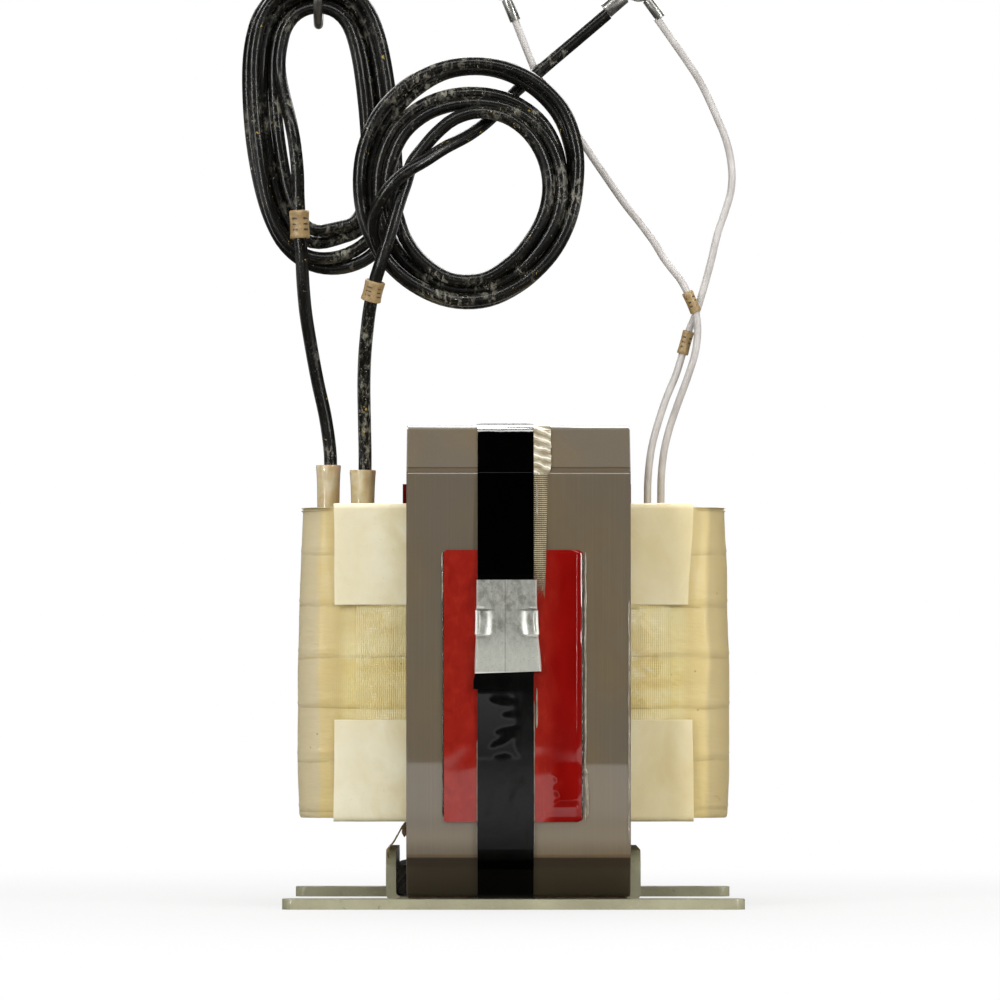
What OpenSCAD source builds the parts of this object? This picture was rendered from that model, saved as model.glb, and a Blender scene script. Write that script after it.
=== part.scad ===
// Two-winding cut-core transformer: two banded core loops, one taped coil, a foot bracket
// and four flying leads. Millimetres, +Z up, origin on the bench under the object's centre.

/* [Core loops] */
// Width of the core strip
strip_w = 76.2; // [60:0.1:90]
// Build-up of the wound strip
core_build = 25.4; // [18:0.1:32]
// Width of a loop's window
window_d = 39.5; // [32:0.5:55]
// Height of a loop's window
window_h = 109.2; // [85:0.1:150]
// Leg of the 45 degree bend at a loop's outer corners
corner_cut = 15.5; // [8:0.5:18]
// Thickness of the sheet between the two loops
separator_t = 1; // [0.5:0.1:2]
// How far the separator stands out at each side of the core
separator_lip = 2.5; // [1:0.5:2.5]
// How far the separator's ends lie inside the notches between the two loops
separator_end = 1.3; // [0.5:0.1:4]
// Distance of the core's centre from the bracket's, to the right
core_shift = 1.7; // [0:0.1:1.7]

/* [Band] */
// Width of the steel band
band_w = 19; // [12:0.5:25]
// Thickness of the band
band_t = 0.6; // [0.4:0.1:1]
// Distance of the band's centre from the core's, to the left
band_shift = 4.4; // [0:0.1:6]
// Width of the crimped seal
seal_w = 22.6; // [20.5:0.1:28]
// Height of the seal
seal_h = 32.9; // [24:0.1:45]
// Wall of the seal
seal_t = 0.9; // [0.5:0.1:1.2]
// Distance from the seal's top to the pad's top
seal_drop = 10.2; // [9.6:0.1:20]
// Length over which the band steps up to the seal
band_ramp = 6; // [4:0.5:7]
// Depth of each crimp notch
notch_depth = 2.4; // [1:0.1:3]
// Height of each crimp notch
notch_h = 9.5; // [5:0.5:12]
// Height of the notches' middle over the seal's middle
notch_rise = 2.4; // [0:0.1:5]
// Length of band end that shows below the seal
band_end = 7; // [3:0.5:12]

/* [Seal pad and tape] */
// Width of the red pad under the seal
pad_w = 47.2; // [30:0.1:60]
// Height of the pad
pad_h = 92.3; // [60:0.1:105]
// Height of the pad's bottom over the window's sill
pad_rise = 0.3; // [0:0.1:4]
// Thickness of the pad
pad_t = 1; // [0.5:0.1:2]
// Width of the holding tape beside the band
tape_w = 5.6; // [3:0.1:10]
// Thickness of the holding tape
tape_t = 0.3; // [0.2:0.1:0.6]
// Length of the holding tape on the core's top
tape_top_l = 20; // [5:1:40]
// Length of the holding tape on the pad
tape_lap = 17.1; // [5:0.1:40]

/* [Coil] */
// Wall of the tube that the coil is wound on
former_t = 1.6; // [1:0.1:3]
// Clearance between the limbs and the former, front to back
former_gap = 0.7; // [0.4:0.1:1.5]
// Room between the limbs and the former at the sides, filled by packing
former_side = 4.5; // [4.3:0.1:8]
// Build of the inner winding at the coil's sides
primary_build = 6.8; // [4:0.1:8]
// Thickness of the barrier between the windings
barrier_t = 1.5; // [0.8:0.1:2]
// Build of the outer winding at the coil's sides
secondary_build = 14.5; // [10:0.5:16]
// Build of the insulation round the windings at the coil's sides
insulation_build = 7.1; // [4:0.1:8]
// Thickness of the outer tape
wrap_t = 1.4; // [0.8:0.1:2]
// Corner radius of the wrapped coil
coil_r = 12; // [9:0.5:20]
// Corner radius inside the former
former_r = 0.5; // [0.3:0.1:2]
// Corner radius of the inner winding
primary_r = 4; // [3:0.5:8]
// Corner radius of the outer winding
secondary_r = 9; // [7:0.5:12]
// Height of the margin ring at each end of the windings
margin_h = 4.1; // [2:0.1:8]
// Thickness of the angle sheets in the windows
liner_t = 1; // [0.6:0.1:1.5]
// Width of the angle sheets
liner_w = 124; // [100:1:140]
// Height of the angle sheets beside the coil
liner_h = 34.9; // [20:0.1:45]
// Width of the tape pads between coil and outer limbs
packing_w = 108; // [80:1:120]
// Thickness of the tape pads, which fill the space between coil and outer limbs
packing_t = 2.2; // [1.6:0.1:5]

/* [Bracket] */
// Length of the feet, side to side
foot_l = 157.4; // [130:0.2:180]
// Width of each foot strip
foot_w = 14; // [10:0.5:20]
// Distance between the outer edges of the two foot strips
foot_span = 174; // [160:1:190]
// Thickness of the bracket's sheet
plate_t = 3.5; // [2.5:0.1:4]
// Width of each side tab
tab_w = 93; // [50:1:110]
// Height of the side tabs over the bench
tab_h = 19.4; // [14:0.1:25]
// Clearance between the core and the nearer side tab
tab_clearance = 0.7; // [0.5:0.1:4]
// Inside radius of the tabs' bends
bend_r = 1.5; // [0.5:0.1:1.5]
// Width of the mounting slots
slot_w = 5.5; // [4:0.1:6.5]
// Length of the mounting slots, end to end
slot_l = 12; // [8:0.5:16]
// Distance between slot centres, side to side
slot_pitch = 128; // [120:1:136]

/* [Leads] */
// Diameter of the heavy leads
heavy_d = 4.6; // [4:0.1:5]
// Diameter of the thin leads
thin_d = 2.6; // [2:0.1:3]
// Outside diameter of the sleeves where the heavy leads leave the coil
sleeve_d = 8.9; // [7:0.1:10]
// Height of the front sleeve over the coil
sleeve_b_h = 13.8; // [8:0.1:20]
// Height of the rear sleeve over the coil
sleeve_a_h = 16.7; // [8:0.1:20]
// Wall of the marker tubes on the heavy leads
sleeve_wall = 1.1; // [0.8:0.1:1.8]
// Wall of the marker tubes on the thin leads
thin_sleeve_wall = 0.6; // [0.4:0.1:1]
// Length of the longest marker tube
marker_l = 9.9; // [8:0.1:11]

/* [Hidden] */
$fn = 64;
eps = 0.01;

// Core and bracket, measured from the middle of the separator
loop_d = 2 * core_build + window_d;
loop_h = 2 * core_build + window_h;
core_bottom = plate_t + band_t;
core_half_d = separator_t / 2 + loop_d;
limb_half_d = separator_t / 2 + core_build;
window_z0 = core_bottom + core_build;
window_z1 = window_z0 + window_h;
core_top = core_bottom + loop_h;
core_x0 = core_shift - strip_w / 2;
core_x1 = core_shift + strip_w / 2;
tab_gap = 2 * (core_x1 + tab_clearance);
bond_gap = 0.5;

// Front stack of pad, seal and band; the whole part moves back by half of what it adds at the front
stack_band = pad_t + seal_t;
stack_front = stack_band + 2 * band_t + seal_t;
y_shift = (stack_front - band_t) / 2;

// Band, pad and tape places
band_x = core_shift - band_shift;
band_lead = 2;
band_skew = 0.6;
band_clear = 1;
pad_z0 = window_z0 + pad_rise;
pad_z1 = pad_z0 + pad_h;
seal_z1 = pad_z1 - seal_drop;
seal_z0 = seal_z1 - seal_h;
notch_z = (seal_z0 + seal_z1) / 2 + notch_rise;
tape_z0 = pad_z1 - tape_lap;

// Coil layers, as half widths at the side (x) and half depths at the front (y)
coil_z0 = window_z0 + liner_t;
coil_z1 = window_z1 - liner_t;
former_x = strip_w / 2 + former_side;
former_y = limb_half_d + former_gap;
primary_x = former_x + former_t;
primary_y = former_y + former_t;
window_face_y = limb_half_d + window_d;
coil_y = window_face_y - packing_t;
inner_wrap_y = coil_y - wrap_t;
// The layers at the front and rear are this much thicker than at the sides, so that they fill the window
bulge = (inner_wrap_y - primary_y - barrier_t) / (primary_build + secondary_build + insulation_build);
barrier_x = primary_x + primary_build;
barrier_y = primary_y + primary_build * bulge;
secondary_x = barrier_x + barrier_t;
secondary_y = barrier_y + barrier_t;
insulation_x = secondary_x + secondary_build;
insulation_y = secondary_y + secondary_build * bulge;
inner_wrap_x = insulation_x + insulation_build;
coil_x = inner_wrap_x + wrap_t;
former_out_r = former_r + former_t;
wrap_in_r = coil_r - wrap_t;
winding_z0 = coil_z0 + wrap_t + margin_h;
winding_z1 = coil_z1 - wrap_t - margin_h;

// Places where the leads leave the coil's top: x, y
exit_a = [-64.7, 15];
exit_b = [-51.9, -20];
exit_c = [47.4, 0];
exit_d = [52.1, 0];
// Height of the leads' ends inside the margin ring, from the coil's top
lead_root = -(wrap_t + margin_h);
marker_gap = 0.1;
hole_gap = 0.05;
lug_reach = 13;
lug_hole_r = 2.6;
lug_ring_r = 4.8;
hook_wire_r = 1.25;
hook_r = 6;
big_hook_wire_r = 1.6;
big_hook_r = 11;

// The leads' routes, from the coil's top up: x, y, z
route_a = [[-64.7, 15, lead_root], [-64.7, 15, 0], [-64.7, 15, 9], [-64.7, 15, 17], [-65, 15, 23],
    [-66.6, 14, 34], [-69.2, 12.2, 46], [-71.4, 10, 58], [-73.3, 7.5, 70], [-74.2, 5.2, 80],
    [-74.7, 4, 90], [-75.3, 4, 97], [-75.7, 4, 106], [-76, 4, 112], [-76.2, 4, 120], [-77.1, 4, 129],
    [-78.5, 4.2, 137], [-80.6, 5, 145], [-81.6, 6.6, 149], [-82, 9.4, 150.5]];
route_b = [[-51.9, -20, lead_root], [-51.9, -20, 0], [-51.9, -20, 8], [-51.8, -20, 14], [-51.8, -20.4, 21],
    [-52, -22.6, 32], [-52.1, -26, 44], [-51.6, -30.5, 55], [-50.4, -35, 66], [-49.4, -37.6, 72],
    [-47.9, -39.4, 79], [-46, -41, 85], [-42.3, -42, 97], [-39.7, -42, 106], [-37.4, -41.8, 113],
    [-35.2, -40.8, 118], [-34, -37.4, 120]];
route_c = [[47.4, 0, lead_root], [47.4, 0, 0], [47.4, 0, 5], [47.6, 0, 12], [48.7, 0, 21.5], [50.8, 0, 30],
    [54.1, 0, 40], [57.4, 0, 48], [59.9, 0, 56], [61.8, 0, 63], [64.4, 0, 69.5], [67.2, 0, 78.5],
    [69.8, 0, 88], [72.2, 0, 98], [74.9, 0, 106], [76.8, 0, 112.5], [77.3, 0, 119], [76.5, 0, 126],
    [74.7, -0.5, 132.5], [71.9, -1.6, 139], [68.7, -3, 146], [65.5, -5, 152], [61.4, -7.5, 158],
    [55.9, -11, 165.5], [50.4, -13.5, 173]];
route_d = [[52.1, 0, lead_root], [52.1, 0, 0], [52.1, 0, 5], [52.3, 0, 13], [53.3, 0, 21.5],
    [55.4, -0.6, 30], [58.8, -2, 39.8], [61.8, -3, 48], [64.2, -3.6, 56], [65, -4, 63.5],
    [64.4, -4, 69.8], [62.6, -4, 74.5], [59.4, -4, 80.8], [56.2, -4, 85], [53, -4.2, 89.2], [49.4, -5, 95],
    [44.3, -6.2, 101.8], [38.9, -8, 108.5], [30.5, -11, 120.3], [24.5, -13, 129], [16.4, -14.4, 140.8],
    [8.7, -15, 152.3], [6.6, -15, 157], [3.6, -15, 164.5], [0.7, -15, 172]];
route_b_tail = [[1, -21.9, 146.6], [1, -20.6, 146.7], [1.6, -19.2, 147.2], [2.9, -18.2, 148.3],
    [4.4, -17.9, 149.6], [8.6, -17.7, 153.3], [12.8, -17.6, 157], [23.4, -17.2, 166], [33, -17, 174.2]];
route_a_tail = [[-51.4, 20.6, 177], [-51.4, 21.9, 176.9], [-51.3, 23.2, 176.2], [-51, 24.2, 174.5],
    [-50.7, 24.4, 171.5], [-50.2, 24.3, 165], [-50, 24.2, 159.5], [-50, 24.2, 154]];

// Coils of lead: middle x, y, z from the coil's top, and the size of the outer outline
coil_a_at = [-66.4, 15, 138];
coil_a_tilt = -5.8;
coil_a_r = 27;
coil_a_straight = 54;
coil_a_ring = 15;
coil_a_depth = 11;
coil_b_at = [-15.7, -30, 112.5];
coil_b_r = 40.2;
coil_b_straight = 7.6;
coil_b_ring = 14;
coil_b_depth = 16;

// Lowest points of the hooks' wires: x, y, z from the coil's top
hook_right_at = [43.4, -15, 184.6];
hook_middle_at = [-4.6, -15, 185.2];
coil_a_top = coil_a_at + coil_a_straight / 2 * [sin(coil_a_tilt), 0, cos(coil_a_tilt)];
hook_left_rise = sqrt(pow(big_hook_r - big_hook_wire_r, 2) - pow(coil_a_depth / 2, 2));
hook_left_at = coil_a_top + [0, 0, coil_a_r - coil_a_ring + hook_left_rise - big_hook_r - 0.1];

// ---- Shapes that repeat ----

// A rectangle with round corners, centred
module round_rect(w, d, r) {
    square([w - 2 * r, d], center = true);
    square([w, d - 2 * r], center = true);
    for (x = [-1, 1], y = [-1, 1]) translate([x * (w / 2 - r), y * (d / 2 - r)]) circle(r);
}

// A layer of the coil: a rectangular ring between two half sizes, standing from z0 to z1
module coil_ring(x_in, y_in, r_in, x_out, y_out, r_out, z0, z1) {
    translate([0, y_shift, z0]) linear_extrude(z1 - z0) difference() {
        round_rect(2 * x_out, 2 * y_out, r_out);
        round_rect(2 * x_in, 2 * y_in, r_in);
    }
}

// Outline of a banded box with 45 degree corners, grown by t on every side
function cut_box(y0, z0, y1, z1, leg, t = 0) =
    let (c = leg + t * (2 - sqrt(2)), a = y0 - t, b = z0 - t, e = y1 + t, f = z1 + t)
    [[a + c, b], [e - c, b], [e, b + c], [e, f - c], [e - c, f], [a + c, f], [a, f - c], [a, b + c]];

// Puts an outline drawn in Y and Z across the part, from x0 to x1
module across(x0, x1) {
    translate([x0, 0, 0]) rotate([90, 0, 90]) linear_extrude(x1 - x0) children();
}

// One C half of a core loop; side is -1 for the front loop and 1 for the rear one
module core_half(side, z0, z1) {
    y0 = side > 0 ? separator_t / 2 : -core_half_d;
    color("dimgray") translate([0, y_shift, 0]) across(core_x0, core_x1) intersection() {
        difference() {
            polygon(cut_box(y0, core_bottom, y0 + loop_d, core_top, corner_cut));
            translate([y0 + core_build, window_z0]) square([window_d, window_h]);
        }
        translate([y0 - 1, z0]) square([loop_d + 2, z1 - z0]);
    }
}

// An angle sheet in a window: one leg stands against the outer limb, one lies at the window's end
module window_liner(side, upper) {
    stand_y = side < 0 ? -window_face_y : window_face_y - liner_t;
    flat_y = side < 0 ? -window_face_y : limb_half_d;
    stand_z = upper ? window_z1 - liner_h : window_z0;
    flat_z = upper ? window_z1 - liner_t : window_z0;
    color("cornsilk") translate([-liner_w / 2, y_shift, 0]) {
        translate([0, stand_y, stand_z]) cube([liner_w, liner_t, liner_h]);
        translate([0, flat_y, flat_z]) cube([liner_w, window_d, liner_t]);
    }
}

// A tape pad between the coil and an outer limb, between the two angle sheets
module side_packing(side) {
    y0 = side < 0 ? -window_face_y : coil_y;
    color("khaki") translate([-packing_w / 2, y_shift + y0, window_z0 + liner_h])
        cube([packing_w, packing_t, window_h - 2 * liner_h]);
}

// A straight slot with round ends, centred, from end to end l
module slot(l, w) {
    square([l - w, w], center = true);
    for (x = [-1, 1]) translate([x * (l - w) / 2, 0]) circle(w / 2);
}

// Side tab of the bracket, on the right: a flat root, the bend, and the upright with round top corners
module side_tab() {
    corner = 8;
    root = 2;
    inner_x = tab_gap / 2;
    bend_x = inner_x - bend_r;
    bend_z = bend_r + plate_t;
    rotate([90, 0, 0]) linear_extrude(tab_w, center = true) {
        translate([bend_x - root, 0]) square([root + eps, plate_t]);
        intersection() {
            translate([bend_x, 0]) square(bend_z);
            translate([bend_x, bend_z]) difference() {
                circle(bend_z);
                circle(bend_r);
            }
        }
        translate([inner_x, bend_z - eps]) square([plate_t, tab_h - corner - bend_z + 2 * eps]);
    }
    translate([inner_x, 0, tab_h - corner]) rotate([90, 0, 90]) linear_extrude(plate_t) intersection() {
        slot(tab_w, 2 * corner);
        translate([-tab_w / 2, 0]) square([tab_w, corner]);
    }
}

// Direction of a route at point i
function heading(p, i) =
    let (d = p[min(i + 1, len(p) - 1)] - p[max(i - 1, 0)]) d / norm(d);

// The ring of a cord's skin at point i; no route runs along X, so X is a safe reference
function skin(p, i, r, n) =
    let (t = heading(p, i), c = cross(t, [1, 0, 0]), u = c / norm(c), v = cross(t, u))
    [for (k = [0 : n - 1]) p[i] + r * (cos(360 * k / n) * u + sin(360 * k / n) * v)];

// A cord along a route, with flat ends
module cord(p, d, n) {
    last = len(p) - 1;
    polyhedron(
        points = [for (i = [0 : last]) each skin(p, i, d / 2, n)],
        faces = concat(
            [[for (k = [0 : n - 1]) n - 1 - k]],
            [for (i = [0 : last - 1], k = [0 : n - 1]) let (a = i * n + k, b = i * n + (k + 1) % n)
                each [[a, b, b + n], [a, b + n, a + n]]],
            [[for (k = [0 : n - 1]) last * n + k]]));
}

// The leads and all that is on them are placed from the coil's top
module on_coil() {
    translate([0, y_shift, coil_z1]) children();
}

// A coil of lead, as an upright oval ring
module lead_coil(at, r, straight, ring_w, depth) {
    translate(at) rotate([90, 0, 0]) linear_extrude(depth, center = true) difference() {
        oval(r, straight);
        oval(r - ring_w, straight);
    }
}

// An upright oval with round ends
module oval(r, straight) {
    square([2 * r, straight], center = true);
    for (y = [-1, 1]) translate([0, y * straight / 2]) circle(r);
}

// A marker tube on a lead, with its middle at a point; lean turns it about X and Y
module marker(at, lean, cable_d, wall, h) {
    bore_r = cable_d / 2 + 2 * marker_gap;
    color("tan") on_coil() translate(at) rotate([lean.x, 0, 0]) rotate([0, lean.y, 0]) difference() {
        cylinder(r = bore_r + wall, h = h, center = true);
        cylinder(r = bore_r, h = h + 1, center = true);
    }
}

// A ring lug; the lead ends at its origin and the ring lies along +Z
module ring_lug(cable_d) {
    barrel = 8;
    wall = 0.6;
    cylinder(r = cable_d / 2 + wall, h = barrel);
    rotate([90, 0, 0]) linear_extrude(2 * wall, center = true) difference() {
        union() {
            translate([0, lug_reach]) circle(lug_ring_r);
            translate([-cable_d / 2, barrel - 1]) square([cable_d, lug_reach - barrel]);
        }
        translate([0, lug_reach]) circle(lug_hole_r);
    }
}

// A lug that hangs on a hook's wire at a point, with its lead coming from below; tilt leans it
module hung_lug(at, y_step, tilt, cable_d) {
    color("silver") on_coil() translate(at + [0, y_step, 0]) rotate([0, tilt, 0])
        translate([0, 0, hook_wire_r - lug_hole_r - lug_reach]) ring_lug(cable_d);
}

// One bend of a hook, a little over three quarters round
module hook_bend(r, wire_r) {
    rotate_extrude(angle = 280, $fn = 72) translate([r, 0]) circle(wire_r, $fn = 24);
}

// An S-shaped wire hook across the view; its lower bend's wire is lowest at the origin
module s_hook(wire_r, low_r, high_r) {
    translate([0, 0, low_r]) rotate([90, 0, 90]) {
        rotate([0, 0, 90]) hook_bend(low_r, wire_r);
        translate([0, low_r + high_r]) rotate([0, 0, -90]) hook_bend(high_r, wire_r);
    }
}

// ---- Bracket and core ----

module mounting_bracket() {
    foot_y = foot_span / 2 - foot_w / 2;
    plate_w = tab_gap - 2 * bend_r;
    color("darkkhaki") translate([0, y_shift, 0]) {
        linear_extrude(plate_t) difference() {
            union() {
                square([plate_w, foot_span], center = true);
                for (y = [-1, 1]) translate([0, y * foot_y]) round_rect(foot_l, foot_w, 4);
            }
            for (x = [-1, 1], y = [-1, 1]) translate([x * slot_pitch / 2, y * foot_y])
                slot(slot_l, slot_w);
        }
        side_tab();
        mirror([1, 0, 0]) side_tab();
    }
}

module base_bond() {
    flat = core_half_d - corner_cut - 3 * bond_gap;
    color("peru") translate([0, y_shift, plate_t]) for (part = [
        [core_x0 + bond_gap, band_x - band_w / 2 - bond_gap],
        [band_x + band_w / 2 + bond_gap, core_x1 - 3 * bond_gap]])
        translate([part[0], -flat, 0]) cube([part[1] - part[0], 2 * flat, band_t]);
}

module front_core_lower() core_half(-1, core_bottom, core_bottom + loop_h / 2);
module front_core_upper() core_half(-1, core_bottom + loop_h / 2, core_top);
module rear_core_lower() core_half(1, core_bottom, core_bottom + loop_h / 2);
module rear_core_upper() core_half(1, core_bottom + loop_h / 2, core_top);

module core_separator() {
    z0 = core_bottom + corner_cut + separator_end;
    z1 = core_top - corner_cut - separator_end;
    color("firebrick") translate([core_x0 - separator_lip, y_shift - separator_t / 2, z0])
        cube([strip_w + 2 * separator_lip, separator_t, z1 - z0]);
}

// ---- Band, seal, pad and tape ----

// Path of the band's inner face up the front: z, and how far it stands off the core
function band_front(t) = [
    [-core_half_d - t, core_bottom + corner_cut],
    [-core_half_d - pad_t - t, pad_z0 - band_clear],
    [-core_half_d - pad_t - t, seal_z0 - band_lead - band_ramp],
    [-core_half_d - stack_band - t, seal_z0 - band_lead],
    [-core_half_d - stack_band - t, seal_z1 + band_lead],
    [-core_half_d - pad_t - t, seal_z1 + band_lead + band_ramp],
    [-core_half_d - pad_t - t, pad_z1 + band_clear],
    [-core_half_d - t, core_top - corner_cut]];

// The closed band's outline, grown by t; the front run follows the pad and the seal
function band_outline(t) =
    let (box = cut_box(-core_half_d, core_bottom, core_half_d, core_top, corner_cut, t))
    concat([for (i = [0 : 5]) box[i]], [for (i = [7 : -1 : 0]) band_front(t)[i]]);

module crimp_notches(half_w, y0, y1) {
    for (x = [-1, 1]) translate([band_x + x * (half_w + 5 - notch_depth) - 5, y0, notch_z - notch_h / 2])
        cube([10, y1 - y0, notch_h]);
}

module banding_strap() {
    lap_y = -core_half_d - stack_band - 2 * band_t;
    color("black") translate([0, y_shift, 0]) difference() {
        union() {
            across(band_x - band_w / 2, band_x + band_w / 2) difference() {
                polygon(band_outline(band_t));
                polygon(band_outline(0));
            }
            translate([band_x - band_w / 2, lap_y, seal_z0 - band_lead])
                cube([band_w, band_t, seal_h + 2 * band_lead]);
            translate([band_x - band_w / 2 - band_skew, lap_y, seal_z0 - band_end])
                cube([band_w, band_t, band_end + eps]);
        }
        crimp_notches(seal_w / 2, lap_y - 1, -core_half_d);
    }
}

module strap_seal() {
    front_y = -core_half_d - stack_front;
    color("silver") translate([0, y_shift, 0]) difference() {
        translate([band_x - seal_w / 2, front_y, seal_z0]) cube([seal_w, stack_front - pad_t, seal_h]);
        translate([band_x - band_w / 2, front_y + seal_t, seal_z0 - 1])
            cube([band_w, 2 * band_t, seal_h + 2]);
        crimp_notches(seal_w / 2, front_y - 1, -core_half_d);
        translate([band_x - 1, front_y + seal_t + 2 * band_t - eps, seal_z0 - 1]) cube([2, 5, seal_h + 2]);
    }
}

module seal_pad() {
    color("crimson") translate([-pad_w / 2, y_shift - core_half_d - pad_t, pad_z0])
        cube([pad_w, pad_t, pad_h]);
}

// The tape's outline in Y and Z: over the top, down the front bevel and the face, and onto the pad
function tape_line(t) =
    let (y = -core_half_d, c = corner_cut, k = t * (sqrt(2) - 1))
    [[y + c + tape_top_l, core_top + t], [y + c - k, core_top + t], [y - t, core_top - c + k],
        [y - t, pad_z1 + 2], [y - pad_t - t, pad_z1], [y - pad_t - t, tape_z0]];

module core_tape() {
    x0 = band_x + band_w / 2 + 0.1;
    line = concat(tape_line(tape_t), [for (i = [5 : -1 : 0]) tape_line(0)[i]]);
    color("lightyellow") translate([0, y_shift, 0]) across(x0, x0 + tape_w) polygon(line);
}

// ---- Coil ----

module coil_former() {
    color("tan") coil_ring(former_x, former_y, former_r, primary_x, primary_y, former_out_r,
        coil_z0, coil_z1);
}

// Strips between the limbs' edges and the former
module limb_packing() {
    strip_y = separator_t / 2 + bond_gap;
    color("burlywood") translate([0, y_shift, coil_z0]) for (part = [
        [-former_x, core_x0], [core_x1, former_x]], side = [-1, 1])
        translate([part[0], side < 0 ? -limb_half_d : strip_y, 0])
            cube([part[1] - part[0], limb_half_d - strip_y, coil_z1 - coil_z0]);
}

module primary_winding() {
    color("peru") coil_ring(primary_x, primary_y, former_out_r, barrier_x, barrier_y, primary_r,
        winding_z0, winding_z1);
}

module winding_barrier() {
    color("wheat") coil_ring(barrier_x, barrier_y, primary_r, secondary_x, secondary_y, primary_r + barrier_t,
        winding_z0, winding_z1);
}

module secondary_winding() {
    color("peru") coil_ring(secondary_x, secondary_y, primary_r + barrier_t, insulation_x, insulation_y,
        secondary_r, winding_z0, winding_z1);
}

module ground_insulation() {
    color("wheat") coil_ring(insulation_x, insulation_y, secondary_r, inner_wrap_x, inner_wrap_y, wrap_in_r,
        winding_z0, winding_z1);
}

module end_margin(z0) {
    color("wheat") coil_ring(primary_x, primary_y, former_out_r, inner_wrap_x, inner_wrap_y, wrap_in_r,
        z0, z0 + margin_h);
}

module end_margin_bottom() end_margin(coil_z0 + wrap_t);

module end_margin_top() {
    difference() {
        end_margin(winding_z1);
        lead_holes();
    }
}

module outer_wrap() {
    color("palegoldenrod") difference() {
        coil_ring(primary_x, primary_y, former_out_r, coil_x, coil_y, coil_r, coil_z0, coil_z1);
        translate([0, y_shift, coil_z0 + wrap_t]) linear_extrude(coil_z1 - coil_z0 - 2 * wrap_t)
            round_rect(2 * inner_wrap_x, 2 * inner_wrap_y, wrap_in_r);
        lead_holes();
    }
}

// Holes for the four leads through the coil's top
module lead_holes() {
    on_coil() for (hole = [[exit_a, heavy_d], [exit_b, heavy_d], [exit_c, thin_d], [exit_d, thin_d]])
        translate([hole[0].x, hole[0].y, lead_root - 1])
            cylinder(r = hole[1] / 2 + hole_gap, h = 2 - lead_root);
}

module window_liner_front_lower() window_liner(-1, false);
module window_liner_front_upper() window_liner(-1, true);
module window_liner_rear_lower() window_liner(1, false);
module window_liner_rear_upper() window_liner(1, true);
module packing_front() side_packing(-1);
module packing_rear() side_packing(1);

// ---- Leads ----

module lead_sleeve(exit, h) {
    color("ivory") on_coil() translate([exit.x, exit.y, 0]) difference() {
        cylinder(r = sleeve_d / 2, h = h);
        translate([0, 0, -1]) cylinder(r = heavy_d / 2 + marker_gap, h = h + 2);
    }
}

module lead_sleeve_a() lead_sleeve(exit_a, sleeve_a_h);
module lead_sleeve_b() lead_sleeve(exit_b, sleeve_b_h);

module lead_a_cable() color("black") on_coil() cord(route_a, heavy_d, 12);
module lead_a_tail() color("black") on_coil() cord(route_a_tail, heavy_d, 12);
module lead_b_cable() color("black") on_coil() cord(route_b, heavy_d, 12);
module lead_b_tail() color("black") on_coil() cord(route_b_tail, heavy_d, 12);
module lead_c_cable() color("lightgray") on_coil() cord(route_c, thin_d, 8);
module lead_d_cable() color("lightgray") on_coil() cord(route_d, thin_d, 8);

module lead_a_coil() {
    color("black") on_coil() translate(coil_a_at) rotate([0, coil_a_tilt, 0])
        lead_coil([0, 0, 0], coil_a_r, coil_a_straight, coil_a_ring, coil_a_depth);
}

module lead_b_coil() {
    color("black") on_coil() lead_coil(coil_b_at, coil_b_r, coil_b_straight, coil_b_ring, coil_b_depth);
}

module lead_a_marker() marker([-75.45, 4, 101.5], [0, -2.5, 0], heavy_d, sleeve_wall, marker_l);
module lead_b_marker() marker([-48.7, -38.5, 75.5], [14, 12, 0], heavy_d, sleeve_wall, marker_l - 2.7);
module lead_c_marker() marker([60.85, 0, 59.5], [0, 15.5, 0], thin_d, thin_sleeve_wall, marker_l - 1.5);
module lead_d_marker() marker([62.9, -4, 73.6], [0, -24, 0], thin_d, thin_sleeve_wall, marker_l - 2.1);

module lead_a_lug() {
    color("silver") on_coil() translate(route_a_tail[len(route_a_tail) - 1]) rotate([0, 180, 0])
        ring_lug(heavy_d);
}
module lead_b_lug() hung_lug(hook_right_at, -2, 49, heavy_d);
module lead_c_lug() hung_lug(hook_right_at, 1.6, -36, thin_d);
module lead_d_lug() hung_lug(hook_middle_at, 0, -22, thin_d);

module hook_left() {
    color("silver") on_coil() translate(hook_left_at) s_hook(big_hook_wire_r, big_hook_r, hook_r);
}
module hook_middle() color("silver") on_coil() translate(hook_middle_at) s_hook(hook_wire_r, hook_r, hook_r);
module hook_right() color("silver") on_coil() translate(hook_right_at) s_hook(hook_wire_r, hook_r, hook_r);

mounting_bracket();
base_bond();
front_core_lower();
front_core_upper();
rear_core_lower();
rear_core_upper();
core_separator();
banding_strap();
strap_seal();
seal_pad();
core_tape();
coil_former();
limb_packing();
primary_winding();
winding_barrier();
secondary_winding();
ground_insulation();
end_margin_bottom();
end_margin_top();
outer_wrap();
window_liner_front_lower();
window_liner_front_upper();
window_liner_rear_lower();
window_liner_rear_upper();
packing_front();
packing_rear();
lead_sleeve_a();
lead_sleeve_b();
lead_a_cable();
lead_a_coil();
lead_a_tail();
lead_a_marker();
lead_a_lug();
lead_b_cable();
lead_b_coil();
lead_b_tail();
lead_b_marker();
lead_b_lug();
lead_c_cable();
lead_c_marker();
lead_c_lug();
lead_d_cable();
lead_d_marker();
lead_d_lug();
hook_left();
hook_middle();
hook_right();
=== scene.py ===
import math

import bmesh
import bpy
import numpy as np
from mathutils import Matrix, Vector, noise
from mathutils.bvhtree import BVHTree


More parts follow.
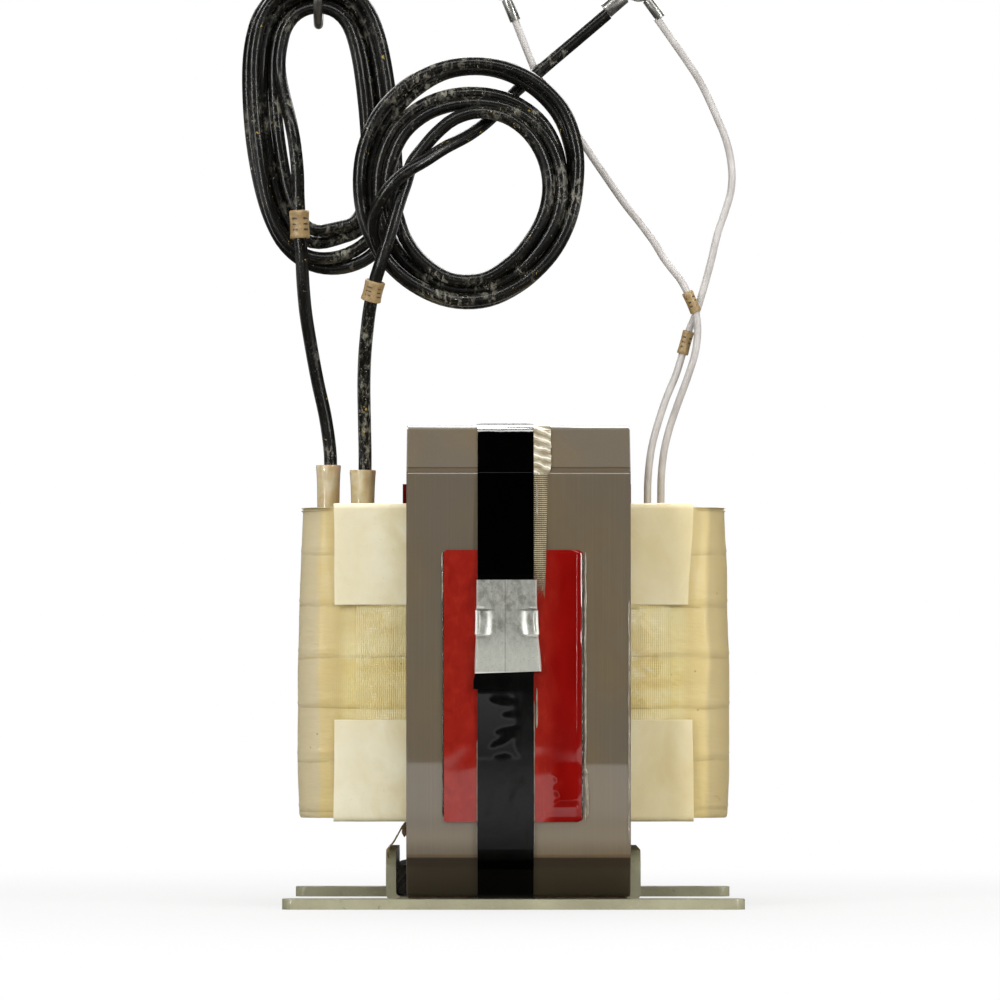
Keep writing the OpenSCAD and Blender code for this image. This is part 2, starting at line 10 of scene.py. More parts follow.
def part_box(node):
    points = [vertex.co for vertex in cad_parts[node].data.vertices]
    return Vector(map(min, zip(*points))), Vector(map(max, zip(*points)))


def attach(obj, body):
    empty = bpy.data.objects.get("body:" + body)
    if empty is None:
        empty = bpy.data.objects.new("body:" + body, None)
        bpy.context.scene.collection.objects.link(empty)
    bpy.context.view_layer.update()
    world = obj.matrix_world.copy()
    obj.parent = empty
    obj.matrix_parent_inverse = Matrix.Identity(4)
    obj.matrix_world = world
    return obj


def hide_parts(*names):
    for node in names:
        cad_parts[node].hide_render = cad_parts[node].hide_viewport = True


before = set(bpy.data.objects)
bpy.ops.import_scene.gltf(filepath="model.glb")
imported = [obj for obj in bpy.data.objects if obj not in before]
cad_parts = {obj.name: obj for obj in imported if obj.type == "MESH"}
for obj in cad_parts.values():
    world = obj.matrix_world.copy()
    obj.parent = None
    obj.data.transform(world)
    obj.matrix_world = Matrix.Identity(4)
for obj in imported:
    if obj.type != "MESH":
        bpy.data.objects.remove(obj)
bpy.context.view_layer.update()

# Every length below is in millimetres, in the CAD frame, and MM turns it into metres.
MM = 0.001


# ---- Camera, set by the image points ----

PHOTO_W = PHOTO_H = 1000
CAMERA_AT = Vector((-4.6, -2459.3, 71.2))
CAMERA_PITCH = 1.64
CAMERA_LENS = 251.4
CAMERA_SENSOR = 36.0
CAMERA_SHIFT = (0.0, 0.0)

IMAGE_POINTS = {
    "foot_left": (281, 909.4),
    "foot_right": (744.8, 909.4),
    "strap_top": (505, 425),
    "foot_bottom": (733.5, 909.7),
    "core_top_left": (408, 428.5),
    "core_bottom_right": (629.4, 895.9),
    "coil_left": (298, 700),
    "coil_right": (727, 700),
    "pad_top_left": (444, 550),
    "pad_bottom_right": (583, 822),
    "seal_top": (506.8, 580),
    "liner_top_left": (334, 501),
    "liner_bottom_right": (696, 823),
    "sleeve_a_top": (328.6, 466),
    "sleeve_b_top": (363, 472),
    "marker_a": (299, 225),
    "marker_b": (373, 291),
    "pad_bead": (585.5, 690),
    "core_bead": (629.5, 723),
    "resin_drip": (404.5, 832),
}


def make_camera():
    data = bpy.data.cameras.new("camera")
    data.lens = CAMERA_LENS
    data.sensor_width = CAMERA_SENSOR
    data.sensor_fit = "AUTO"
    data.shift_x, data.shift_y = CAMERA_SHIFT
    data.clip_start, data.clip_end = 0.05, 100
    camera = bpy.data.objects.new("camera", data)
    camera.location = CAMERA_AT * MM
    camera.rotation_euler = (math.radians(90 + CAMERA_PITCH), 0, 0)
    bpy.context.scene.collection.objects.link(camera)
    bpy.context.scene.camera = camera
    bpy.context.view_layer.update()
    return camera


camera = make_camera()


def in_picture(point):
    """Where a point in metres shows in the photograph's frame."""
    local = camera.matrix_world.inverted() @ Vector(point)
    long_side = max(PHOTO_W, PHOTO_H)
    per_metre = long_side * CAMERA_LENS / CAMERA_SENSOR / -local.z
    return (PHOTO_W / 2 - CAMERA_SHIFT[0] * long_side + local.x * per_metre,
            PHOTO_H / 2 + CAMERA_SHIFT[1] * long_side - local.y * per_metre)


def on_surface(pixel, tree):
    """The place in millimetres where the ray through a pixel meets a surface, or the nearest to it."""
    x, y = pixel
    long_side = max(PHOTO_W, PHOTO_H)
    ray = Vector((x - PHOTO_W / 2 + CAMERA_SHIFT[0] * long_side,
                  PHOTO_H / 2 - y + CAMERA_SHIFT[1] * long_side,
                  -long_side * CAMERA_LENS / CAMERA_SENSOR))
    start = camera.matrix_world.translation
    ray = (camera.matrix_world.to_3x3() @ ray).normalized()
    hit = tree.ray_cast(start, ray)[0]
    if hit is None:
        along = -start.y
        hit = tree.find_nearest(start + ray * along)[0]
    return hit / MM


# ---- Sizes that the looks share with the CAD ----

def node_box(node):
    lo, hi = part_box(node)
    return lo / MM, hi / MM


Y_SHIFT = 1.7
CORE_Z0, CORE_Z1 = node_box("front_core_lower")[0].z, node_box("front_core_upper")[1].z
CORE_FRONT = node_box("front_core_lower")[0].y
CORE_BUILD = 25.4
CORNER_CUT = 15.5
WINDOW_D, WINDOW_H = 39.5, 109.2
CORE_TOP = CORE_Z1 + 0.9
CUT_TOP, CUT_BOTTOM = 16.8, 13.8
BAND_LO, BAND_HI = node_box("strap_seal")
BAND_X = (BAND_LO.x + BAND_HI.x) / 2
BAND_W = 19.0
BAND_T = 0.6
PAD_LO, PAD_HI = node_box("seal_pad")
WRAP_LO, WRAP_HI = node_box("outer_wrap")
COIL_TOP = WRAP_HI.z
LIMB_END = 58.0
TAPE_STEP = 17.6


# ---- Node trees ----

WHITE = (1, 1, 1, 1)


def rgb(red, green, blue):
    """A colour given in display values from 0 to 255."""
    def linear(v):
        v /= 255
        return v / 12.92 if v <= 0.04045 else ((v + 0.055) / 1.055) ** 2.4
    return (linear(red), linear(green), linear(blue), 1)


class Term:
    """A value in a node tree. Python's own signs join it to other values through Math nodes."""

    def __init__(self, nodes, socket):
        self.nodes, self.socket = nodes, socket

    def __add__(self, other):
        return self.nodes.math("ADD", self, other)

    def __radd__(self, other):
        return self.nodes.math("ADD", other, self)

    def __sub__(self, other):
        return self.nodes.math("SUBTRACT", self, other)

    def __rsub__(self, other):
        return self.nodes.math("SUBTRACT", other, self)

    def __mul__(self, other):
        return self.nodes.math("MULTIPLY", self, other)

    def __truediv__(self, other):
        return self.nodes.math("DIVIDE", self, other)

    def __abs__(self):
        return self.nodes.math("ABSOLUTE", self)


class Nodes:
    """A node tree, made step by step. Sizes in it are in millimetres on the object."""

    def __init__(self, tree):
        self.tree = tree

    def add(self, kind, inputs=None, **settings):
        node = self.tree.nodes.new("ShaderNode" + kind)
        for key, value in settings.items():
            setattr(node, key, value)
        for key, value in (inputs or {}).items():
            self.feed(node.inputs[key], value)
        return node

    def out(self, kind, output, inputs=None, **settings):
        """One output of a new node."""
        return Term(self, self.add(kind, inputs, **settings).outputs[output])

    def feed(self, socket, value):
        if isinstance(value, Term):
            self.tree.links.new(value.socket, socket)
        else:
            socket.default_value = value

    def math(self, operation, a, b=0.0):
        return self.out("Math", 0, {0: a, 1: b}, operation=operation)

    def highest(self, a, b):
        return self.math("MAXIMUM", a, b)

    def lowest(self, a, b):
        return self.math("MINIMUM", a, b)

    def fract(self, value):
        return self.math("FRACT", value)

    def wave(self, value, length):
        """A sine that repeats over a length."""
        return self.math("SINE", value * (2 * math.pi / length))

    def step(self, value, low, high, bottom=0.0, top=1.0, kind="SMOOTHSTEP"):
        """From bottom at low to top at high, and level outside them; low may be the greater."""
        if low > high:
            low, high, bottom, top = high, low, top, bottom
        return self.out("MapRange", "Result", {"Value": value, "From Min": low, "From Max": high,
                                               "To Min": bottom, "To Max": top}, interpolation_type=kind)

    def mix(self, share, a, b):
        return self.out("Mix", 2, {0: share, 6: a, 7: b}, data_type="RGBA")

    def over(self, colour, share, red, green, blue):
        """The colour with a share of another, in display values, laid over it."""
        return self.mix(share, colour, rgb(red, green, blue))

    def ramp(self, value, *stops):
        """Colours in display values, each after its place from 0 to 1."""
        node = self.add("ValToRGB", {"Fac": value})
        elements = node.color_ramp.elements
        while len(elements) < len(stops):
            elements.new(0.5)
        for element, (place, *colour) in zip(elements, stops):
            element.position, element.color = place, rgb(*colour)
        return Term(self, node.outputs["Color"])


class Finish(Nodes):
    """A piece's material on the Principled shader."""

    def __init__(self, slot, name=None, **constants):
        self.slot = slot
        self.material = bpy.data.materials.new(name or slot)
        self.material.use_nodes = True
        super().__init__(self.material.node_tree)
        self.shader = self.tree.nodes["Principled BSDF"]
        self.position = self.out("TexCoord", "Object")
        self.colour = None
        for socket, value in constants.items():
            self.drive(socket.replace("_", " "), value)

    def lay(self, share, red, green, blue):
        """Lays a share of another colour, in display values, over the finish's colour."""
        self.colour = self.over(self.colour, share, red, green, blue)

    def drive(self, socket, value):
        self.feed(self.shader.inputs[socket], value)

    def done(self, relief):
        """The finish, with its colour and relief joined to the shader."""
        self.drive("Base Color", self.colour)
        self.drive("Normal", relief)
        return self

    def scaled(self, size, source=None):
        """Coordinates in which the given size in millimetres, or one along each of X, Y and Z, is 1."""
        sizes = size if isinstance(size, tuple) else (size,) * 3
        return self.out("Mapping", "Vector", {"Vector": source or self.position,
                                              "Scale": tuple(1 / (MM * s) for s in sizes)})

    def axis(self, name):
        """One coordinate in millimetres."""
        return self.out("SeparateXYZ", name, {"Vector": self.scaled(1)})

    def facing(self, name):
        """How far the surface faces along an axis of the object, from -1 to 1."""
        return self.out("SeparateXYZ", name, {"Vector": self.out("NewGeometry", "Normal")})

    def noise(self, size, detail=3.0, rough=0.5, warp=0.0, source=None):
        return self.out("TexNoise", "Fac", {"Vector": self.scaled(size, source), "Scale": 1.0,
                                            "Detail": detail, "Roughness": rough, "Distortion": warp})

    def cells(self, size):
        return self.out("TexVoronoi", "Distance", {"Vector": self.scaled(size), "Scale": 1.0}, feature="F1")

    def bump(self, height, distance, under=None, strength=1.0):
        """Relief of that depth in millimetres where the height is 1, over another relief or none."""
        node = self.add("Bump", {"Height": height, "Strength": strength, "Distance": distance * MM})
        if under:
            self.feed(node.inputs["Normal"], under)
        return Term(self, node.outputs["Normal"])


# ---- Finishes ----

def bracket_paint():
    m = Finish("bracket_paint", Coat_Weight=0.35, Coat_Roughness=0.12)
    cloud = m.noise(22, 4, 0.6)
    m.colour = m.ramp(cloud, (0.3, 140, 137, 112), (0.7, 163, 160, 132))
    grime = m.noise(3, 6, 0.7, 0.4)
    m.lay(m.step(grime, 0.63, 0.75), 92, 88, 70)
    speck = m.step(m.cells(1.7), 0.1, 0.05)
    m.lay(speck * 0.5, 196, 194, 176)
    m.drive("Roughness", m.step(grime, 0.35, 0.7, 0.26, 0.5, "LINEAR"))
    peel = m.bump(m.noise(1.1, 2), 0.035)
    return m.done(m.bump(cloud, 0.25, peel))


def bond():
    m = Finish("bond", Coat_Weight=0.6, Coat_Roughness=0.08, Roughness=0.3)
    flow = m.noise((6, 6, 2), 4, 0.6, 0.8)
    m.colour = m.ramp(flow, (0.3, 92, 62, 34), (0.7, 150, 112, 66))
    return m.done(m.bump(flow, 0.3))


def strip_depth(m, side):
    """How deep in the wound strip a point of a core's side face lies, in millimetres from the window."""
    window_y = Y_SHIFT + side * (0.5 + CORE_BUILD + WINDOW_D / 2)
    window_z = (CORE_Z0 + CORE_Z1) / 2
    over_y = abs(m.axis("Y") - window_y) - WINDOW_D / 2
    over_z = abs(m.axis("Z") - window_z) - WINDOW_H / 2
    slant = (over_y + over_z) / (2 - CORNER_CUT / CORE_BUILD)
    return m.highest(m.highest(over_y, over_z), slant)


def core_steel(side):
    """Varnished strip: drawn lines up the outer faces, and the edges of the strip's turns at the sides."""
    m = Finish("core_steel", "core_steel_front" if side < 0 else "core_steel_rear",
               Coat_Roughness=0.012, Coat_IOR=1.8, Specular_IOR_Level=0.08)
    drawn = m.noise((0.5, 0.5, 70), 3, 0.6)
    broad = m.noise((15, 15, 34), 4, 0.6, 0.4)
    tint = m.noise((34, 34, 48), 2)
    face = m.ramp(tint, (0.35, 91, 83, 71), (0.65, 97, 85, 65))
    face = m.over(face, m.step(drawn, 0.4, 0.75) * 0.13, 118, 108, 92)
    face = m.over(face, m.step(broad, 0.42, 0.75) * 0.25, 84, 76, 66)
    height = m.axis("Z") + m.noise(30) * 0.7
    bend, foot = CORE_TOP - CUT_TOP, CORE_Z0 + CUT_BOTTOM
    # Painted shade along the bends: dark brown bands and lines on the top bevel just above its crease with
    # the face, and a brown line on the face just above the bottom crease; the fourth row lays a lighter band
    # higher up that face.
    for low, high, soft, share, colour in (
            (bend + 0.4, bend + 2.3, 0.25, 0.5, (74, 60, 42)),
            (bend + 1.95, bend + 2.6, 0.15, 0.6, (44, 34, 24)),
            (bend + 0.15, bend + 0.5, 0.1, 0.6, (44, 36, 28)),
            (foot + 1.0, foot + 13.0, 6.0, 0.5, (118, 108, 92)),
            (foot + 0.3, foot + 1.6, 0.5, 0.6, (92, 70, 46))):
        stain = m.step(height, low, low + soft) * m.step(height, high, high - soft)
        face = m.over(face, stain * share, *colour)
    depth = strip_depth(m, side)
    across = m.out("CombineXYZ", "Vector", {"X": depth})
    lines = m.out("TexNoise", "Fac", {"Vector": across, "Scale": 1.7, "Detail": 6.0, "Roughness": 0.75})
    wash = m.noise((14, 14, 20), 4)
    edges = m.ramp(lines, (0.34, 52, 47, 41), (0.5, 104, 97, 88), (0.68, 150, 143, 131))
    edges = m.over(edges, m.step(wash, 0.45, 0.7) * 0.5, 96, 78, 52)
    at_side = m.step(abs(m.facing("X")), 0.6, 0.8)
    # Painted shade: faces that look down, such as the bottom bevel, are darkened and their coat thinned.
    under = m.step(m.facing("Z"), -0.3, -0.6)
    face = m.over(face, under * 0.8, 44, 36, 26)
    m.colour = m.mix(at_side, face, edges)
    m.drive("Coat Weight", 1.0 - under * 0.75)
    smooth = 0.16 + at_side * 0.26
    m.drive("Roughness", smooth + drawn * 0.1)
    relief = drawn * 0.05 + lines * at_side * 3.0
    flow = m.bump(m.noise((24, 24, 70), 2), 0.01)
    return m.done(m.bump(relief, 0.05, flow, 0.8))


def red_board(glossy_right):
    """Lacquered red sheet; on the pad a thicker glossy coat lies over the right part."""
    m = Finish("red_board", "red_pad" if glossy_right else "red_sheet",
               Coat_Weight=1.0, Coat_Roughness=0.025, Coat_IOR=1.58, Specular_IOR_Level=0.06)
    blotch = m.noise((4.5, 4.5, 6), 5, 0.6, 0.5)
    dry = m.ramp(blotch, (0.32, 119, 19, 10), (0.5, 127, 24, 14), (0.72, 138, 32, 20))
    scratch = m.noise((0.5, 0.5, 12), 3, 0.6, 1.2)
    dry = m.over(dry, m.step(scratch, 0.62, 0.75) * 0.3, 172, 70, 50)
    wet = m.ramp(m.noise((9, 9, 22), 3), (0.35, 108, 4, 2), (0.7, 122, 9, 5))
    if glossy_right:
        edge = m.axis("X") + m.noise((7, 7, 16), 4) * 12
        is_wet = m.step(edge, 15, 22)
    else:
        is_wet = m.step(m.noise(30, 2), 0.45, 0.6)
    m.colour = m.mix(is_wet, dry, wet)
    m.drive("Roughness", 0.26 - is_wet * 0.16)
    fine = m.bump(m.noise(1.1, 3), 0.006)
    return m.done(m.bump(m.noise((9, 9, 14), 2), 0.014, fine))


def band_black():
    """Black lacquered steel, as smooth as a mirror, with a painted reflection where it bends over the top:
    bright bare metal that mirrors the white above.
    """
    m = Finish("band_black", Specular_IOR_Level=0.42)
    smear = m.noise((5, 5, 16), 4, 0.6, 0.6)
    dust = m.step(m.cells(1.3), 0.07, 0.03)
    m.colour = m.ramp(smear, (0.4, 4, 4, 4), (0.75, 8, 8, 7))
    m.lay(dust * 0.12, 120, 116, 104)
    height = m.axis("Z")
    # Painted reflection: worn marks a band of bright metal along the top bend, with a wavy lower border, that
    # stands in for the white reflection there.
    border = height + m.noise(3.2, 3) * 1.2
    worn = m.step(border, CORE_TOP - 1.65, CORE_TOP - 1.4) * m.step(height, CORE_TOP + 0.3, CORE_TOP + 0.15)
    above = m.step(height, SEAL_Z1, SEAL_Z1 + 1) + m.step(height, CORE_Z0 + CUT_BOTTOM, CORE_Z0 + 12)
    matt = above * m.step(m.axis("Y"), CORE_FRONT + 30, CORE_FRONT + 20)
    m.lay(worn, 238, 238, 234)
    m.drive("Metallic", m.highest(worn, m.lowest(matt, 0.85)))
    m.drive("Roughness", 0.07 + m.step(smear, 0.5, 0.8) * 0.06)
    return m.done(m.bump(m.noise(4, 2), 0.004))


def seal_zinc():
    """Dull zinc, pitted above and brighter below, with a seam down the middle."""
    m = Finish("seal_zinc", Metallic=0.55)
    bloom = m.noise((1.5, 1.5, 3.2), 5, 0.66, 0.3)
    m.colour = m.ramp(bloom, (0.3, 150, 151, 143), (0.5, 168, 169, 161), (0.72, 190, 191, 182))
    low = m.step(m.axis("Z"), 99, 84)
    m.lay(low * 0.55, 216, 217, 205)
    worn = m.step(m.noise(3.4, 4, 0.6), 0.46, 0.66) * m.step(m.axis("Z"), 86, 98)
    m.lay(worn * 0.55, 112, 112, 100)
    pits = m.step(m.noise((0.5, 0.5, 0.55), 3, 0.65), 0.6, 0.68)
    pitted = 0.5 + worn * 0.5
    m.lay(pits * pitted * 0.85, 62, 62, 54)
    seam = abs(m.axis("X") - (BAND_X - 0.15))
    m.lay(m.step(seam, 0.22, 0.05) * 0.45, 86, 86, 80)
    # Painted highlight: faces that turn to the sides, at the rounded edges and in the crimps, are made nearly
    # white.
    rolled = m.step(abs(m.facing("X")), 0.22, 0.5)
    m.lay(rolled * 0.7, 244, 244, 238)
    # Painted highlight: a near-white rim along the seal's lower edge.
    rim = m.step(m.axis("Z"), SEAL_Z0 + 1.9, SEAL_Z0 + 1.5)
    m.lay(rim * 0.8, 246, 246, 240)
    m.drive("Roughness", 0.26 + bloom * 0.16)
    grain = m.bump(m.noise(0.35, 3), 0.02)
    return m.done(m.bump(bloom, 0.04, m.bump(pits, -0.03, grain)))


def holding_tape():
    """Glass tape: bare and creased over the bend, soaked and see-through on the face."""
    m = Finish("holding_tape", Coat_Weight=0.7, Coat_Roughness=0.08, Roughness=0.4)
    bend = CORE_TOP - CUT_TOP
    frayed = m.axis("Z") + m.noise((0.7, 0.7, 3.0), 2) * 2.4
    bare = m.step(frayed, bend + 0.4, bend + 1.2)
    crease = m.noise((3.4, 3.4, 2.2), 3, 0.5, 0.4)
    dry = m.ramp(crease, (0.34, 124, 112, 80), (0.5, 154, 144, 116), (0.7, 182, 176, 156))
    height = m.axis("Z") + m.noise(5, 3, 0.6) * 3.0
    run = height + m.axis("X") * 0.35
    # Painted shade in the valleys of the creases and painted highlight on their crests, in a wave that
    # follows the folds of the tape's shape.
    fold_shade_and_highlight = m.wave(run, 3.1)
    dry = m.over(dry, m.step(fold_shade_and_highlight, 0.1, -0.85) * 0.7, 96, 84, 56)
    dry = m.over(dry, m.step(fold_shade_and_highlight, 0.75, 0.98) * 0.7, 232, 228, 216)
    rib = m.wave(m.axis("Z"), 0.68)
    weave = m.wave(m.axis("X"), 0.6)
    cloth = rib * 0.5 + weave * 0.14
    soaked = m.ramp(0.5 + cloth * 0.5, (0.25, 92, 80, 58), (0.85, 168, 156, 128))
    m.colour = m.mix(bare, soaked, dry)
    clear = m.step(m.noise((3, 3, 14), 3), 0.3, 0.75)
    low = m.step(m.axis("Z"), PAD_HI.z - 18, PAD_HI.z + 2)
    fade = 0.16 + low * 0.2
    body = fade + clear * 0.35
    threads = m.step(cloth, -0.35, 0.4) * 0.35
    shown = m.lowest(body + threads * low, 1.0)
    ragged = m.axis("Z") + m.noise((1.2, 1.2, 4.0), 3) * 5.0
    shown = shown * m.step(ragged, PAD_HI.z - 14.5, PAD_HI.z - 8.5)
    m.drive("Alpha", m.highest(bare, shown))
    return m.done(m.bump(cloth, 0.05, m.bump(crease, 0.05), 0.9))


def taped_coil(ribs):
    """Varnished tape in overlapping bands; ribs adds the coarse glass cloth between the angle sheets."""
    m = Finish("glass_tape" if ribs else "coil_tape", Coat_Weight=0.1, Coat_Roughness=0.15,
               Specular_IOR_Level=0.75 if ribs else 0.4, Subsurface_Weight=0.25, Subsurface_Scale=0.004,
               Subsurface_Radius=(1.0, 0.7, 0.35))
    sag = m.noise((50, 50, 14), 2) * 5
    height = m.axis("Z") + sag
    lap = m.fract(height / TAPE_STEP)
    layers = m.noise((26, 26, 9), 4, 0.6, 0.5)
    m.colour = m.ramp(layers, (0.28, 203, 176, 106), (0.45, 216, 194, 128), (0.62, 222, 204, 146),
                      (0.8, 226, 211, 162))
    band = m.fract(height / (2 * TAPE_STEP))
    m.lay(m.step(band, 0.45, 0.53) * 0.35, 228, 215, 172)
    at_end = abs(m.axis("X"))
    # Painted shade: thick marks the coil's outer corners, where its sides turn away from the light; there the
    # colour is greyed, darker on the right side.
    thick = m.step(at_end + m.noise((12, 12, 22), 3) * 4, 67.5, 70.0)
    m.lay(m.step(at_end, 56, 61) * 0.85, 197, 175, 118)
    edge = m.mix(m.step(m.axis("X"), -10, 10), rgb(187, 175, 146), rgb(166, 150, 110))
    m.colour = m.mix(thick * 0.75, m.colour, edge)
    seam = m.step(lap, 0.06, 0.0) * m.step(m.noise(9, 3), 0.38, 0.62)
    m.lay(seam * 0.6, 166, 142, 88)
    dirt = m.step(m.cells(7.5), 0.07, 0.02)
    m.lay(dirt * 0.6, 96, 80, 50)
    grime = m.step(m.noise((7, 7, 3), 5, 0.7, 0.8), 0.6, 0.78)
    low = m.step(m.axis("Z"), WRAP_LO.z + 22, WRAP_LO.z + 1)
    m.lay(grime * low * 0.55, 128, 110, 72)
    rib = m.wave(m.axis("X"), 0.69)
    cross = m.wave(m.axis("Z"), 0.9)
    cloth = rib * 0.5 + cross * 0.05
    near = m.step(at_end, 60, 45) if ribs else m.step(at_end, 70, 46)
    pool = m.noise(9, 3, 0.55, 0.5)
    wetness = m.step(pool, 0.46, 0.54) * (0.12 + near * 0.88)
    m.drive("Roughness", 0.56 - wetness * 0.46)
    folds = m.bump(m.noise((14, 14, 5), 3, 0.6), 0.35)
    laps = m.bump(m.step(lap, 0.0, 0.1), 0.25, folds)
    if ribs:
        # Painted highlight: near-white glints on the rib peaks, in patches near the core, for the wet shine
        # of the varnish.
        painted_wet_glints = m.step(m.noise((8, 8, 6), 4, 0.65, 0.5), 0.54, 0.64)
        peaks = m.step(rib, 0.0, 0.6) * m.step(cross, -0.4, 0.3)
        painted_wet_glints = painted_wet_glints * peaks * m.step(at_end, 54, 47)
        m.lay(painted_wet_glints * 0.85, 252, 250, 244)
    depth = 0.17 if ribs else 0.04
    return m.done(m.bump(cloth * near, depth, laps))


def cream_board():
    m = Finish("cream_board", Roughness=0.46, Subsurface_Weight=0.2, Subsurface_Scale=0.003,
               Subsurface_Radius=(1.0, 0.8, 0.5), Coat_Weight=0.25, Coat_Roughness=0.25)
    stain = m.noise((19, 19, 24), 4, 0.55, 0.4)
    m.colour = m.ramp(stain, (0.3, 208, 190, 140), (0.5, 222, 209, 168), (0.7, 235, 227, 198))
    # Painted light: the sheets are lighter towards the far left, away from the core's shade.
    out = m.step(m.axis("X"), -42, -58)
    m.lay(out * 0.5, 236, 228, 202)
    # Darker and yellower towards the right.
    right_side_darker = m.step(m.axis("X"), 30, 50)
    m.lay(right_side_darker * 0.45, 200, 182, 134)
    fleck = m.step(m.noise(1.1, 3), 0.64, 0.74)
    m.lay(fleck * 0.3, 190, 172, 124)
    wave = m.bump(m.noise((16, 16, 20), 2), 0.2)
    return m.done(m.bump(m.noise(0.5, 3), 0.02, wave))


def ivory_sleeve():
    m = Finish("ivory_sleeve", Roughness=0.28, Coat_Weight=0.8, Coat_Roughness=0.05, Subsurface_Weight=0.3,
               Subsurface_Scale=0.003)
    stain = m.noise((7, 7, 5), 4, 0.6, 0.5)
    m.colour = m.ramp(stain, (0.3, 176, 158, 116), (0.5, 192, 176, 138), (0.72, 208, 198, 172))
    streak = m.step(m.noise((3.2, 3.2, 22), 3, 0.6, 0.3), 0.42, 0.66)
    m.lay(streak * 0.55, 222, 214, 194)
    # Painted shade: the side that faces right is browned and darkened.
    amber = m.step(m.facing("X"), -0.1, 0.95)
    m.lay(amber * 0.62, 146, 116, 68)
    foot = m.step(m.axis("Z"), COIL_TOP + 12, COIL_TOP)
    m.lay(foot * 0.35, 176, 156, 104)
    return m.done(m.bump(m.noise(3, 3), 0.06))


def heavy_cable():
    """Shiny black rubber, chalky where it was handled, with specks of dust and bits of yellow paint."""
    m = Finish("heavy_cable", Coat_Weight=0.12, Coat_Roughness=0.16, Specular_IOR_Level=0.4)
    along = m.out("UVMap", "UV")
    cloud = m.noise(9, 4, 0.65)
    m.colour = m.ramp(cloud, (0.35, 7, 7, 6), (0.7, 19, 18, 14))
    low_lead = m.step(m.axis("Z"), COIL_TOP + 76, COIL_TOP + 60) * m.step(m.axis("X"), -58, -55)
    worn = m.highest(m.step(m.noise(21, 3, 0.6), 0.5, 0.68), low_lead * 0.95)
    chalk = m.step(m.noise((2.0, 2.0, 3.4), 6, 0.72, 0.5), 0.49, 0.64) * worn
    m.lay(chalk * 0.62, 154, 150, 132)
    dots = m.step(m.noise(0.75, 2, 0.5), 0.685, 0.74)
    dots = dots * (0.25 + worn * 0.75)
    m.lay(dots * 0.9, 196, 190, 168)
    scuff = m.step(m.noise((7.0, 0.55, 1.0), 5, 0.7, 0.3, along), 0.61, 0.7)
    m.lay(scuff * 0.4, 122, 118, 98)
    paint = m.step(m.noise((2.3, 2.3, 3.0), 3, 0.6, 0.4), 0.705, 0.725)
    m.lay(paint * 0.85, 168, 142, 66)
    dull = 0.27 + chalk * 0.4
    m.drive("Roughness", dull + scuff * 0.22)
    dent = m.bump(m.noise(6, 3, 0.6), 0.16)
    return m.done(m.bump(m.noise((1.0, 1.0, 1.4), 4, 0.6), 0.035, dent))


def thin_wire():
    m = Finish("thin_wire", Roughness=0.4, Coat_Weight=0.15, Coat_Roughness=0.2)
    cloud = m.noise((4, 4, 8), 4, 0.6)
    m.colour = m.ramp(cloud, (0.3, 172, 167, 163), (0.7, 196, 192, 188))
    low = m.step(m.axis("Z"), COIL_TOP + 26, COIL_TOP)
    m.lay(low * 0.5, 176, 166, 146)
    return m.done(m.bump(m.noise((5, 5, 6), 2), 0.05))


def marker_tan():
    """Printed wire marker, with plain dashes for its print."""
    m = Finish("marker_tan", Roughness=0.5, Coat_Weight=0.2, Coat_Roughness=0.3)
    stain = m.noise(3, 4, 0.6)
    m.colour = m.ramp(stain, (0.3, 132, 106, 66), (0.55, 156, 131, 88), (0.75, 186, 164, 124))
    printed = m.out("UVMap", "UV")
    along, round_it = (m.out("SeparateXYZ", name, {"Vector": printed}) for name in "XY")
    row = m.fract(round_it * 5.0)
    dash = m.step(row, 0.08, 0.14) * m.step(row, 0.66, 0.58)
    gap = m.fract(along * 5.0)
    short = m.step(gap, 0.3, 0.36) * m.step(gap, 0.72, 0.66)
    inside = m.step(along, 0.18, 0.22) * m.step(along, 0.84, 0.8)
    ink = dash * short * inside
    worn = m.step(m.noise(1.2, 3), 0.38, 0.5)
    m.lay(ink * worn * 0.9, 34, 28, 20)
    grime = m.step(m.noise((1.6, 1.6, 0.9), 4, 0.7, 0.6), 0.5, 0.68)
    m.lay(grime * 0.55, 112, 90, 56)
    return m.done(m.bump(stain, 0.06))


def bright_metal(slot, dark, light, rough, grain):
    m = Finish(slot, Metallic=0.95)
    tarnish = m.noise(4, 5, 0.6, 0.4)
    m.colour = m.ramp(tarnish, (0.3, *dark), (0.7, *light))
    m.drive("Roughness", rough + tarnish * 0.22)
    return m.done(m.bump(m.noise(grain, 3), 0.02))


def fibre(slot, dark, light, size):
    """Paper, pressboard and wound strip inside the coil."""
    m = Finish(slot, Roughness=0.6)
    strands = m.noise(size, 5, 0.65, 0.3)
    m.colour = m.ramp(strands, (0.3, *dark), (0.7, *light))
    return m.done(m.bump(strands, 0.12))


def copper_winding():
    m = Finish("copper_winding", Metallic=0.8, Roughness=0.35)
    turns = m.wave(m.axis("Z"), 1.6)
    # Painted shade: the colour darkens in the grooves between the turns.
    m.colour = m.ramp(0.5 + turns * 0.5, (0.1, 110, 52, 26), (0.7, 190, 110, 64))
    return m.done(m.bump(turns, 0.3))


def clear_varnish(name, low, high):
    """Beads of set varnish with a hard shine, between two colours."""
    m = Finish("bond", name, Coat_Weight=1.0, Coat_Roughness=0.02, Roughness=0.05, Specular_IOR_Level=0.9)
    m.colour = m.ramp(m.noise((3, 3, 5), 4), (0.3, *low), (0.7, *high))
    return m.done(m.bump(m.noise((1.2, 1.2, 0.9), 3, 0.6), 0.12))


# ---- Mesh tools ----

